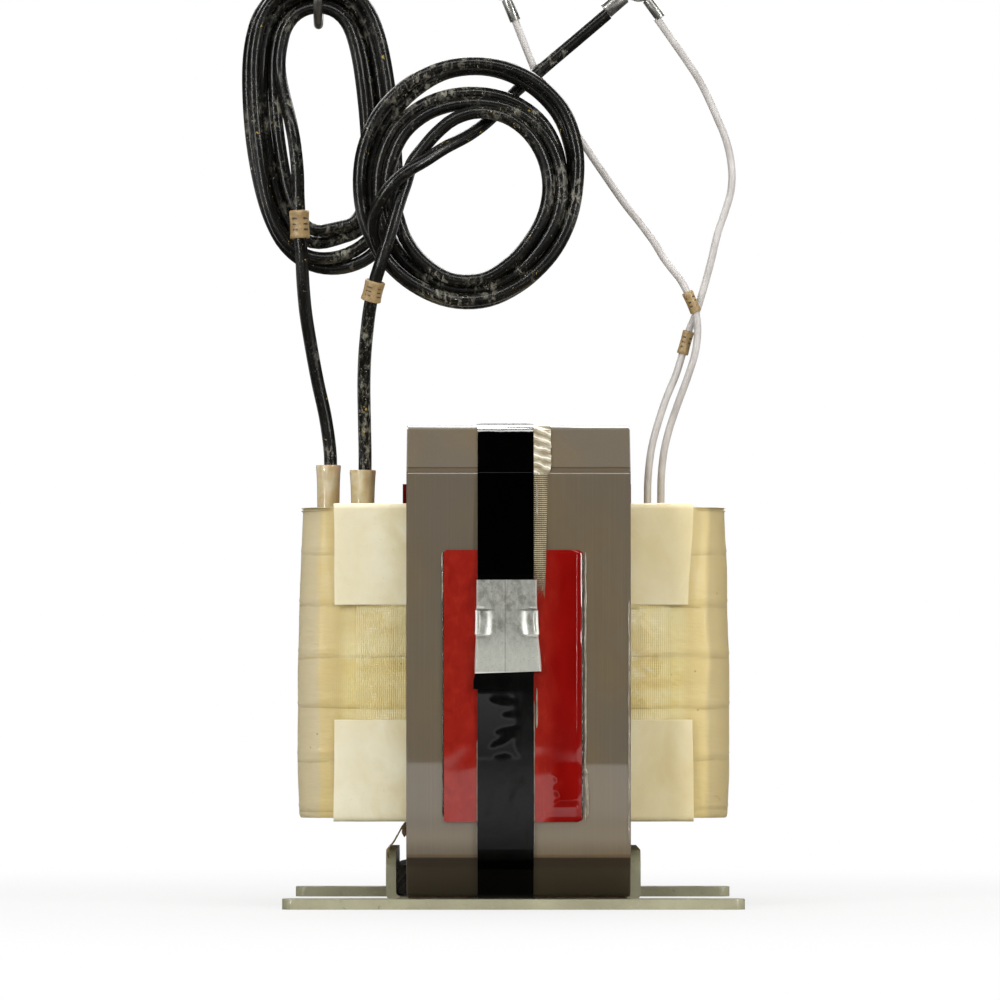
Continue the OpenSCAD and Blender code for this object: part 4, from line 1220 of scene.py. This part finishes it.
def core_tape(finish):
    """The holding tape: gathered and creased over the bend, then lying flat down the face."""
    node_lo, node_hi = node_box("core_tape")
    bend, face_y, x0 = CORE_TOP - CUT_TOP, CORE_FRONT, node_lo.x
    outline = [(node_hi.y, CORE_TOP), (face_y + CUT_TOP, CORE_TOP), (face_y, bend), (face_y, PAD_HI.z + 9),
               (face_y - PAD_T, PAD_HI.z), (face_y - PAD_T, node_lo.z)]
    path = resampled(softened(outline, [0, 2, 1.5, 4.0, 4.0, 0], 8, closed=False), 0.55)
    normals = side_normals(path)
    outward = 1 if normals[-1].x < 0 else -1

    def place(row, u, back):
        p, n = row
        loose = ease((p.y - bend + 1.5) / 3.0)
        x_right = between(node_lo.x + 4.6, node_lo.x + 5.9, loose)
        x_right -= 0.9 * ease((bend - p.y) / 55)
        x_right += 0.35 * ripple(0, p.x, p.y, 3.0, 5.0) * (0.25 + loose)
        x = between(x0, x_right, u)
        along_fold = p.y - bend + 0.3 * (x - x0) + 0.7 * ripple(x, 0, p.y, 4.0, 2.3)
        crease = 0.5 + 0.5 * math.sin(2 * math.pi * along_fold / 3.0 + 0.8 * ripple(0, 0, p.y, 5, 1.0))
        crease = 1.15 * crease ** 1.5 + 0.18 * abs(ripple(x, p.x, p.y, 0.9, 2.3))
        crease *= ease((CORE_TOP - 0.3 - p.y) / 2.0)
        off = (0.03 if back else 0.17) + loose * (0.2 + 0.85 * crease)
        off += 0.05 * (1 - loose) * (1 + ripple(x, p.x, p.y, 4.0, 8.0))
        return x, p.x + n.x * off * outward, p.y + n.y * off * outward

    slab("core_tape_creased", list(zip(path, normals)), spread(0, 1, 14), place, finish, ["core_tape"], 60)


def parting_sheet(finish):
    """The red sheet between the two core loops, cut short below so that only its upper corners show."""
    lo, hi = node_box("core_separator")
    slab("core_separator_sheet", spread(lo.z + 9.3, hi.z, 60), spread(lo.x, hi.x - 0.7, 30),
         lambda z, x, back: (x, hi.y - 0.02 if back else lo.y + 0.02, z), finish,
         ["core_separator"], 40, 0.15)


def shaded_bond_fill(finish):
    """Bond squeezed up between the bracket's left cheek and the core, made black as painted shade in the dark
    gap there.
    """
    def place(v, x, back):
        y = 46.0 if back else -43.2
        top = 14.2 + 0.35 * (x + 38.5) + 0.6 * ripple(x, y, 0, 3, 2.0)
        return x, y + 0.5 * ripple(x, 0, v * 9, 3, 4.0), between(4.2, top, v)

    slab("shaded_bond_fill_left", spread(0, 1, 14), spread(-40.45, -36.45, 8), place, finish, (), 40, 0.2)


# ---- Coil ----

def ring_outline(half_x, half_y, r, per_side, per_corner):
    """A rectangle with round corners, as points from the middle of the front face round to the right."""
    points = []
    corners = [(1, -1, -90), (1, 1, 0), (-1, 1, 90), (-1, -1, 180)]

    def on_corner(corner, turn):
        sx, sy, start = corner
        a = math.radians(start + turn)
        return Vector((sx * (half_x - r) + r * math.cos(a), sy * (half_y - r) + r * math.sin(a)))

    for corner, after in zip(corners, corners[1:] + corners[:1]):
        points += [on_corner(corner, 90 * k / per_corner) for k in range(per_corner + 1)]
        last, first = points[-1], on_corner(after, 0)
        points += [last.lerp(first, (k + 1) / (per_side + 1)) for k in range(per_side)]
    return points


def wrapped_coil(finish):
    """The taped coil: a box-shaped ring that bellies out, with bands of tape lapped down its sides."""
    half_x, half_y = (WRAP_HI.x - WRAP_LO.x) / 2, (WRAP_HI.y - WRAP_LO.y) / 2
    rows = list(zip(ring_outline(half_x, half_y, 12.0, 34, 10), ring_outline(44.25, 28.25, 2.1, 34, 10)))
    z0, z1 = WRAP_LO.z, WRAP_HI.z
    edge = 1.6
    flat = (0, 0.12, 0.5, 0.8, 0.93)
    profile = [(share, z0, 0) for share in flat]
    profile += [(1, z0 + edge * 0.12, 0.75), (1, z0 + edge * 0.4, 0.3)]
    profile += [(1, z, 0) for z in spread(z0 + edge, z1 - edge, 110)]
    profile += [(1, z1 - edge * 0.4, 0.3), (1, z1 - edge * 0.12, 0.75)]
    profile += [(share, z1, 0) for share in flat[::-1]]

    def place(row, column, back):
        outer, inner = row
        share, z, drop = column
        away = (outer - inner).normalized()
        p = inner.lerp(outer, share)
        if share < 1:
            pleat = abs(ripple(p.x, p.y, z, 6, 4.0) * 0.35 * share * (1 - share) * 4)
            inward = -1 if z > (z0 + z1) / 2 else 1
            return p.x, p.y + Y_SHIFT, z + (inward * pleat + inward * 0.35 * share) + inward * back
        t = (z - z0) / (z1 - z0)
        lap = ((z + 2.5 * ripple(p.x, p.y, 0, 45, 6.0)) / TAPE_STEP) % 1.0
        left = 1.0 if p.x < 0 else 0.8
        belly = -0.75 - 1.0 * left * ease((t - 0.45) / 0.3) - 1.3 * left * ease((t - 0.72) / 0.28)
        belly -= 0.8 * ease((0.16 - t) / 0.16) + 0.35 * (p.y - Y_SHIFT) ** 2 / 2500
        belly *= ease((abs(p.x) - LIMB_END) / 9)
        belly += 0.2 * (1 - ease(lap / 0.10)) + 0.22 * ripple(p.x, p.y, z, 17, 1.0) - 0.2
        belly += 0.10 * ripple(p.x, p.y, z, 5, 2.0) - drop
        if abs(p.x) < LIMB_END:
            belly = min(belly, -0.5 - drop) * 0.55
        off = belly - back
        return p.x + away.x * off, p.y + away.y * off + Y_SHIFT, z

    return slab("outer_wrap_taped", rows, profile, place, finish, ["outer_wrap"], 50, loop=True)


def inner_ring(node, hole, finish):
    """A layer inside the coil, drawn a little in so that the wrap covers it.

    hole is its bore's half width, half depth and corner radius."""
    lo, hi = node_box(node)
    rows = list(zip(ring_outline(71.2, 59.0, 14.0, 12, 8), ring_outline(*hole, 12, 8)))
    slab(node + "_ring", rows, (lo.z, hi.z),
         lambda row, z, back: row[back].to_3d() + Vector((0, Y_SHIFT, 0)) + Vector((0, 0, z)),
         finish, [node], 40, loop=True)


def angle_sheet(name, side, upper, finish):
    """A creamy angle sheet: one leg stands against the outer limb, the other lies in the window's end."""
    lo, hi = node_box(name)
    t = 1.0
    stand, far = (lo.y + t / 2, hi.y) if side < 0 else (hi.y - t / 2, lo.y)
    flat, free = (hi.z - t / 2, lo.z) if upper else (lo.z + t / 2, hi.z)
    path = resampled(softened([(stand, free), (stand, flat), (far, flat)], [0, 1.6, 0], 6, closed=False), 1.5)
    seed = (3.0 if upper else 8.0) + side
    slant = 1.9 if upper and side < 0 else 0.4

    def place(row, u, back):
        p, n = row
        down = (hi.z - p.y) / (hi.z - lo.z) if upper else (p.y - lo.z) / (hi.z - lo.z)
        x0 = lo.x + 0.3 + 0.35 * ripple(0, p.x, p.y, 20, seed) + 0.4 * down
        x1 = hi.x - 0.1 - slant * down + 0.3 * ripple(9, p.x, p.y, 20, seed)
        x = between(x0, x1, u)
        offset = -t / 2 if back else t / 2
        out_x = max(0.0, (abs(x - 1.7) - 38) / 24)
        bow = side * 0.35 * out_x ** 2 + 0.22 * out_x * ripple(x, p.x, p.y, 15, seed)
        lift = 0.35 * out_x * ripple(x, p.x, 0, 12, seed + 2)
        return x, p.x + n.x * offset + bow * 0.6, p.y + n.y * offset + lift * 0.4

    return slab(name + "_sheet", list(zip(path, side_normals(path))), spread(0, 1, 61), place, finish,
                [name], 45, 0.18)


def glass_packing(name, side, finish):
    """The soaked glass tape that fills the space between coil and outer limb."""
    lo, hi = node_box(name)
    near = hi.y if side < 0 else lo.y

    def place(z, x, back):
        fade = ease((54 - abs(x)) / 12)
        thick = (hi.y - lo.y - 0.1) * (0.35 + 0.65 * fade)
        rib = 0.10 * math.sin(2 * math.pi * x / 1.24) * ease((abs(x) - 36) / 4)
        swell = 0.22 * ripple(x, 0, z, 8, 3.0 + side)
        y = near + side * (0.0 if back else thick + rib + swell)
        return x, min(max(y, lo.y), hi.y), z

    slab(name + "_glass", spread(lo.z, hi.z, 40), spread(lo.x, hi.x, 109), place, finish, [name], 70)


# ---- Varnish beads and the drip ----

def bead(name, places, r, finish, seed, rough=0.35):
    """A thin bead of set varnish along places, thicker and thinner as it ran."""
    line = smooth_line([Vector(p) for p in places], 0.6)
    points, sides = [], 8
    up = Vector((0, -1, 0))
    for i, here in enumerate(line):
        ahead = (line[min(i + 1, len(line) - 1)] - line[max(i - 1, 0)]).normalized()
        across = ahead.cross(up).normalized()
        taper = min(1.0, i / 4 + 0.2, (len(line) - 1 - i) / 4 + 0.2)
        swell = r * taper * (1 + rough * ripple(here.x, here.y, here.z, 1.6, seed)
                             + rough * ripple(here.x, here.y, here.z, 5.5, seed))
        for k in range(sides):
            a = 2 * math.pi * k / sides
            points.append(here + across * math.cos(a) * swell + up * math.sin(a) * swell)
    return piece(name, points, skin(len(line), sides), finish, (), 80)


# ---- The CAD's own pieces ----

def dress(node, finish, rounding=0.0):
    """Gives a CAD node its finish, and rounds its edges a little."""
    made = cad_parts[node]
    for place in made.material_slots:
        place.link = "OBJECT"
        place.material = finish.material
    if rounding:
        weld = made.modifiers.new("weld", "WELD")
        weld.merge_threshold = 0.005 * MM
        round_edges(made, rounding, 3, angle=32, harden=True)
    return made


# ---- Making the leads ----

rubber, pale_wire, tan = heavy_cable(), thin_wire(), marker_tan()
tin = bright_metal("lug_tin", (150, 150, 146), (204, 203, 196), 0.22, 0.6)
steel_wire = bright_metal("hook_steel", (104, 102, 98), (158, 156, 150), 0.25, (0.4, 0.4, 1.5))

for name, at, lean, cable_d, wall, height in (
        ("lead_a_marker", (-75.45, 4, 101.5), (0, -2.5), HEAVY_D, 1.1, 9.9),
        ("lead_b_marker", (-48.7, -38.5, 75.5), (12, 14), HEAVY_D, 1.1, 7.2),
        ("lead_c_marker", (60.85, 0, 59.5), (0, 15.5), THIN_D, 0.6, 8.4),
        ("lead_d_marker", (62.9, -4, 73.6), (0, -24), THIN_D, 0.6, 7.8)):
    marker(name, at, lean, cable_d, wall, height, tan)

lead("lead_a", ROUTE_A, EXIT_A, HEAVY_D, rubber, ["lead_a_cable", "lead_a_coil", "lead_a_tail"],
     coil_a_turns(), TAIL_A, (13.5, 19.9))
lead("lead_b", ROUTE_B, EXIT_B, HEAVY_D, rubber, ["lead_b_cable", "lead_b_coil", "lead_b_tail"],
     coil_b_turns(), TAIL_B, (-34.0, -22.6))
lead("lead_c", ROUTE_C, EXIT_C, THIN_D, pale_wire, ["lead_c_cable"])
lead("lead_d", ROUTE_D, EXIT_D, THIN_D, pale_wire, ["lead_d_cable"])
for name in ("lead_a_lug", "lead_b_lug", "lead_c_lug", "lead_d_lug"):
    dress(name, tin, 0.12)
for name in ("hook_left", "hook_middle", "hook_right"):
    dress(name, steel_wire)

# ---- Making the core and what holds it ----

core = make_core()
red_sheet, red_pad, black = red_board(False), red_board(True), band_black()
dress("mounting_bracket", bracket_paint(), 0.35)
dress("base_bond", bond())
parting_sheet(red_sheet)
strap = banding_strap(black)
band_end(black)
seal = strap_seal(seal_zinc())
pad = seal_pad(red_pad)
core_tape(holding_tape())

# ---- Making the coil ----

cream = cream_board()
former = fibre("former_board", (148, 118, 74), (186, 156, 106), (2, 2, 9))
paper = fibre("barrier_paper", (204, 184, 138), (226, 210, 170), (3, 3, 12))
copper = copper_winding()
wrap = wrapped_coil(taped_coil(False))
liners = {}
for loop, side in (("front", -1), ("rear", 1)):
    for half in ("lower", "upper"):
        name = f"window_liner_{loop}_{half}"
        liners[name] = angle_sheet(name, side, half == "upper", cream)
ribbed = taped_coil(True)
glass_packing("packing_front", -1, ribbed)
glass_packing("packing_rear", 1, ribbed)
for name in ("coil_former", "limb_packing"):
    dress(name, former, 0.3)
dress("winding_barrier", paper)
inner_ring("ground_insulation", (67.05, 53.8, 9.0), paper)
inner_ring("end_margin_bottom", (44.3, 28.3, 2.2), paper)
inner_ring("end_margin_top", (44.3, 28.3, 2.2), paper)
for name in ("primary_winding", "secondary_winding"):
    dress(name, copper)
ivory = ivory_sleeve()
sleeve("lead_sleeve_a", EXIT_A, 16.7,
       [(0, 3.95), (0.25, 3.95), (0.6, 4.05), (0.85, 4.25), (0.97, 4.42), (1.0, 4.3)], ivory, 0.75)
sleeve("lead_sleeve_b", EXIT_B, 13.8,
       [(0, 4.1), (0.25, 4.1), (0.6, 4.25), (0.85, 4.45), (0.96, 4.6), (1.0, 4.45)], ivory, 0.7)

# ---- Varnish that ran, placed through the image points ----

def surface_of(*pieces):
    """A tree of the finished faces of some pieces."""
    graph = bpy.context.evaluated_depsgraph_get()
    graph.update()
    points, faces = [], []
    for made in pieces:
        shown = made.evaluated_get(graph)
        mesh = shown.to_mesh()
        start = len(points)
        points += [shown.matrix_world @ v.co for v in mesh.vertices]
        faces += [tuple(start + v for v in p.vertices) for p in mesh.polygons]
        shown.to_mesh_clear()
    return BVHTree.FromPolygons(points, faces)


front = surface_of(pad, core["front_core_lower"], core["front_core_upper"], *liners.values())
varnish = clear_varnish("varnish_bead", (104, 95, 80), (146, 136, 118))


def ran(name, x, top, bottom, sway, r, seed, finish=varnish, lean=0.0):
    """A run of varnish down the front, along a line of the picture."""
    places = [on_surface((x + lean * (y - top) + sway * ripple(0, 0, y, 30, seed), y), front)
              for y in range(top, bottom, 5)]
    bead("varnish_" + name, places, r, finish, seed)


DRIP_THREAD = [(-37.6, -49.5, 28.9), (-38.6, -50, 27.0), (-40.0, -50, 24.5), (-41.2, -49.6, 22.4),
               (-42.6, -49.2, 20.6), (-43.3, -48.6, 18.7), (-43.0, -46.8, 16.6)]
DRIP_BLOB = [(-37.2, -49.5, 29.2), (-37.3, -49.6, 27.6), (-37.4, -49.6, 25.8), (-37.6, -49.4, 24.0)]
brown = clear_varnish("varnish_brown", (38, 28, 18), (70, 54, 36))
black_bond = clear_varnish("varnish_black", (8, 7, 6), (20, 17, 13))
amber = clear_varnish("varnish_amber", (104, 78, 42), (168, 138, 88))
red_varnish = clear_varnish("varnish_red", (128, 10, 6), (150, 24, 16))
pad_x, core_x = IMAGE_POINTS["pad_bead"][0], IMAGE_POINTS["core_bead"][0]
for run in (("bead_pad", pad_x, 552, 824, 0.8, 0.42, 1.0),
            ("bead_low", pad_x + 0.6, 768, 822, 1.0, 0.75, 4.0, varnish, 0.04),
            ("bead_left", 442.3, 552, 606, 0.6, 0.36, 2.0),
            ("bead_edge", core_x - 0.4, 600, 850, 0.5, 0.36, 3.0),
            ("bead_band", 536.8, 688, 730, 0.5, 0.36, 5.0),
            # The next two runs are dark brown beads along the pad's left and right edges: painted shade in
            # the gaps there.
            ("pad_shade_left", 443.2, 552, 822, 0.3, 0.34, 6.0, brown),
            ("pad_shade_right", 582.6, 554, 820, 0.3, 0.3, 7.0, brown),
            ("band_left", 478.0, 474, 578, 0.15, 0.14, 8.0),
            ("band_right", 534.2, 700, 848, 0.2, 0.2, 9.0),
            ("band_foot", 477.2, 740, 848, 0.2, 0.2, 10.0),
            ("pad_crest", 576.8, 553, 736, 0.35, 0.2, 11.0, red_varnish),
            ("pad_foot", 577.2, 803, 815, 0.2, 0.2, 12.0, red_varnish),
            ("tape_crest", 537.0, 482, 526, 0.7, 0.4, 13.0)):
    ran(*run)
bead("banding_strap_crest", [(x, -68.5, CORE_TOP + 0.6) for x in (-12.7, -6, 0, 6.7)], 0.27,
     black_bond, 14.0, 0.05)
shaded_bond_fill(black_bond)
bead("resin_drip_thread", DRIP_THREAD, 0.3, amber, 3.0)
bead("resin_drip_blob", DRIP_BLOB, 1.35, amber, 6.0, 0.5)

# ---- Floor, world and lamps ----

def make_world():
    """White behind the object for the camera and for glass; dim all round for what reflects in it."""
    world = bpy.data.worlds.new("studio")
    bpy.context.scene.world = world
    world.use_nodes = True
    w = Nodes(world.node_tree)
    w.tree.nodes.clear()
    place = w.out("TexCoord", "Generated")
    ahead = w.step(w.out("SeparateXYZ", "Y", {0: place}), 0.12, 0.3, kind="LINEAR")
    above = w.step(w.out("SeparateXYZ", "Z", {0: place}), 0.38, 0.5, kind="LINEAR")
    seen = w.mix(ahead * above, (0.022, 0.022, 0.022, 1), WHITE)
    soft = w.mix(w.out("LightPath", "Is Glossy Ray"), (0.42, 0.42, 0.42, 1), seen)
    clear = w.highest(w.out("LightPath", "Is Camera Ray"), w.out("LightPath", "Is Transmission Ray"))
    shine = w.out("Background", 0, {"Color": w.mix(clear, soft, WHITE), "Strength": 1.0})
    w.add("OutputWorld", {0: shine})


def table_top():
    """A pale surface: white to the camera further out, and brighter far off in what mirrors it."""
    m = Finish("table_top", Roughness=0.7, Specular_IOR_Level=0.2)
    tint = m.mix(m.out("TexNoise", "Fac", {"Scale": 3.0}), (0.46, 0.46, 0.455, 1), (0.5, 0.5, 0.495, 1))
    camera_ray, glossy_ray = m.out("LightPath", "Is Camera Ray"), m.out("LightPath", "Is Glossy Ray")
    # Painted shade in reflections: to glossy rays the table is near black, and it turns white only further
    # off, so that it mirrors dark near the object.
    m.drive("Base Color", m.mix(glossy_ray, tint, (0.02, 0.018, 0.015, 1)))
    away = m.out("VectorMath", "Value", {0: m.position}, operation="LENGTH")
    seen = camera_ray * m.step(away, 0.12, 0.55, 0.72, 1.0)
    mirrored = glossy_ray * m.step(away, 0.6, 2.3)
    shine = m.out("Emission", 0, {"Color": WHITE, "Strength": 1.0})
    both = m.out("MixShader", 0, {0: m.highest(seen, mirrored), 1: Term(m, m.shader.outputs[0]), 2: shine})
    m.feed(m.tree.nodes["Material Output"].inputs["Surface"], both)
    return m.material


def glowing_table_rim():
    """The table's near edge, which glows brown as painted light so that it shows as a brown line in what the
    core mirrors.
    """
    m = Finish("glowing_table_rim")
    m.drive("Base Color", rgb(96, 66, 38))
    # Painted light: the rim glows though it is no lamp.
    m.drive("Emission Color", (0.5, 0.26, 0.09, 1))
    m.drive("Emission Strength", 0.8)
    return m.material


FLOOR_FRONT = -5.3


def make_floor():
    """A pale table, whose near edge glows as painted light and shows as a line in what the core's face
    reflects.
    """
    mesh = bpy.data.meshes.new("table")
    near, far, wide = FLOOR_FRONT, 6.0, 6.0
    rim = 0.16
    edge_line = [(-wide, near - 0.6), (-0.6, near - 0.6), (0.6, near + 0.6), (wide, near + 0.6)]
    points = [(x, y, 0) for x, y in edge_line] + [(x, y - rim, -0.01) for x, y in edge_line]
    points += [(wide, far, 0), (-wide, far, 0)]
    mesh.from_pydata(points, [], [(0, 1, 2, 3, 8, 9), (4, 5, 1, 0), (5, 6, 2, 1), (6, 7, 3, 2)])
    mesh.materials.append(table_top())
    mesh.materials.append(glowing_table_rim())
    for face in mesh.polygons[1:]:
        face.material_index = 1
    floor = bpy.data.objects.new("table", mesh)
    bpy.context.scene.collection.objects.link(floor)


def make_lamp(name, at, aim_z, size, watts, glossy=True, diffuse=True):
    """A soft panel in metres that looks at the object, unseen by the camera."""
    data = bpy.data.lights.new(name, "AREA")
    data.shape = "RECTANGLE"
    data.size, data.size_y = size
    data.energy = watts
    lamp = bpy.data.objects.new(name, data)
    lamp.location = at
    lamp.rotation_euler = (Vector((0, 0, aim_z)) - Vector(at)).to_track_quat("-Z", "Y").to_euler()
    lamp.visible_glossy = glossy
    lamp.visible_diffuse = diffuse
    lamp.visible_camera = False
    bpy.context.scene.collection.objects.link(lamp)


make_world()
make_floor()
make_lamp("overhead", (0.0, -0.2, 1.9), 0.1, (1.5, 1.2), 30, glossy=False)
make_lamp("key_left", (-1.35, -1.9, 1.25), 0.15, (0.55, 1.1), 26, glossy=False)
make_lamp("fill_right", (1.75, -1.6, 0.9), 0.12, (0.5, 1.1), 26, glossy=False)
make_lamp("fill_front", (0.25, -2.6, 0.75), 0.12, (1.4, 0.9), 13, glossy=False)
make_lamp("strip_left", (-1.45, -1.65, 0.75), 0.15, (0.12, 1.3), 17, diffuse=False)
make_lamp("strip_right", (1.5, -1.65, 0.75), 0.15, (0.12, 1.3), 17, diffuse=False)
make_lamp("mirrored_behind", (0.0, 1.2, 1.3), 0.15, (2.6, 1.15), 50, diffuse=False)
make_lamp("mirrored_front", (0.0, -1.6, 1.75), 0.15, (2.4, 0.22), 16, diffuse=False)

bpy.context.scene.view_settings.view_transform = "Standard"

# ---- What shows, against the image points ----

LEVEL = 0.9


def shown_points(*names):
    """Where the finished vertices of some pieces show in the picture."""
    graph = bpy.context.evaluated_depsgraph_get()
    out = []
    for name in names:
        made = bpy.data.objects[name].evaluated_get(graph)
        mesh = made.to_mesh()
        out += [in_picture(made.matrix_world @ v.co) for v in mesh.vertices]
        made.to_mesh_clear()
    return out


def edge_point(place, right, down, *names):
    """The vertex furthest towards a side or corner; of those as far out, the nearest to its point."""
    seen = shown_points(*names)
    furthest = max(x * right + y * down for x, y in seen)
    level = [p for p in seen if furthest - (p[0] * right + p[1] * down) < LEVEL]
    return min(level, key=lambda p: math.dist(p, IMAGE_POINTS[place]))


def middle_point(*names):
    seen = shown_points(*names)
    across, down = [p[0] for p in seen], [p[1] for p in seen]
    return ((min(across) + max(across)) / 2, (min(down) + max(down)) / 2)


def write_points():
    cad = {name: made.name for name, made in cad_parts.items()}
    bracket = cad["mounting_bracket"]
    places = {
        "foot_left": edge_point("foot_left", -1, 0, bracket),
        "foot_right": edge_point("foot_right", 1, 0, bracket),
        "strap_top": edge_point("strap_top", 0, -1, strap.name),
        "foot_bottom": edge_point("foot_bottom", 0, 1, bracket),
        "core_top_left": edge_point("core_top_left", -1, -1, core["front_core_upper"].name),
        "core_bottom_right": edge_point("core_bottom_right", 1, 1, core["front_core_lower"].name),
        "coil_left": edge_point("coil_left", -1, 0, wrap.name),
        "coil_right": edge_point("coil_right", 1, 0, wrap.name),
        "pad_top_left": edge_point("pad_top_left", -1, -1, pad.name),
        "pad_bottom_right": edge_point("pad_bottom_right", 1, 1, pad.name),
        "seal_top": edge_point("seal_top", 0, -1, seal.name),
        "liner_top_left": edge_point("liner_top_left", -1, -1, liners["window_liner_front_upper"].name),
        "liner_bottom_right": edge_point("liner_bottom_right", 1, 1, liners["window_liner_front_lower"].name),
        "sleeve_a_top": edge_point("sleeve_a_top", 0, -1, "lead_sleeve_a_flared"),
        "sleeve_b_top": edge_point("sleeve_b_top", 0, -1, "lead_sleeve_b_flared"),
        "marker_a": middle_point("lead_a_marker_tube"),
        "marker_b": middle_point("lead_b_marker_tube"),
        "pad_bead": middle_point("varnish_bead_pad"),
        "core_bead": middle_point("varnish_bead_edge"),
        "resin_drip": middle_point("resin_drip_blob"),
    }
    for name, (x, y) in places.items():
        want = IMAGE_POINTS[name]
        {"shows": [round(x, 1), round(y, 1)], "off": [round(x - want[0], 1), round(y - want[1], 1)]}


write_points()
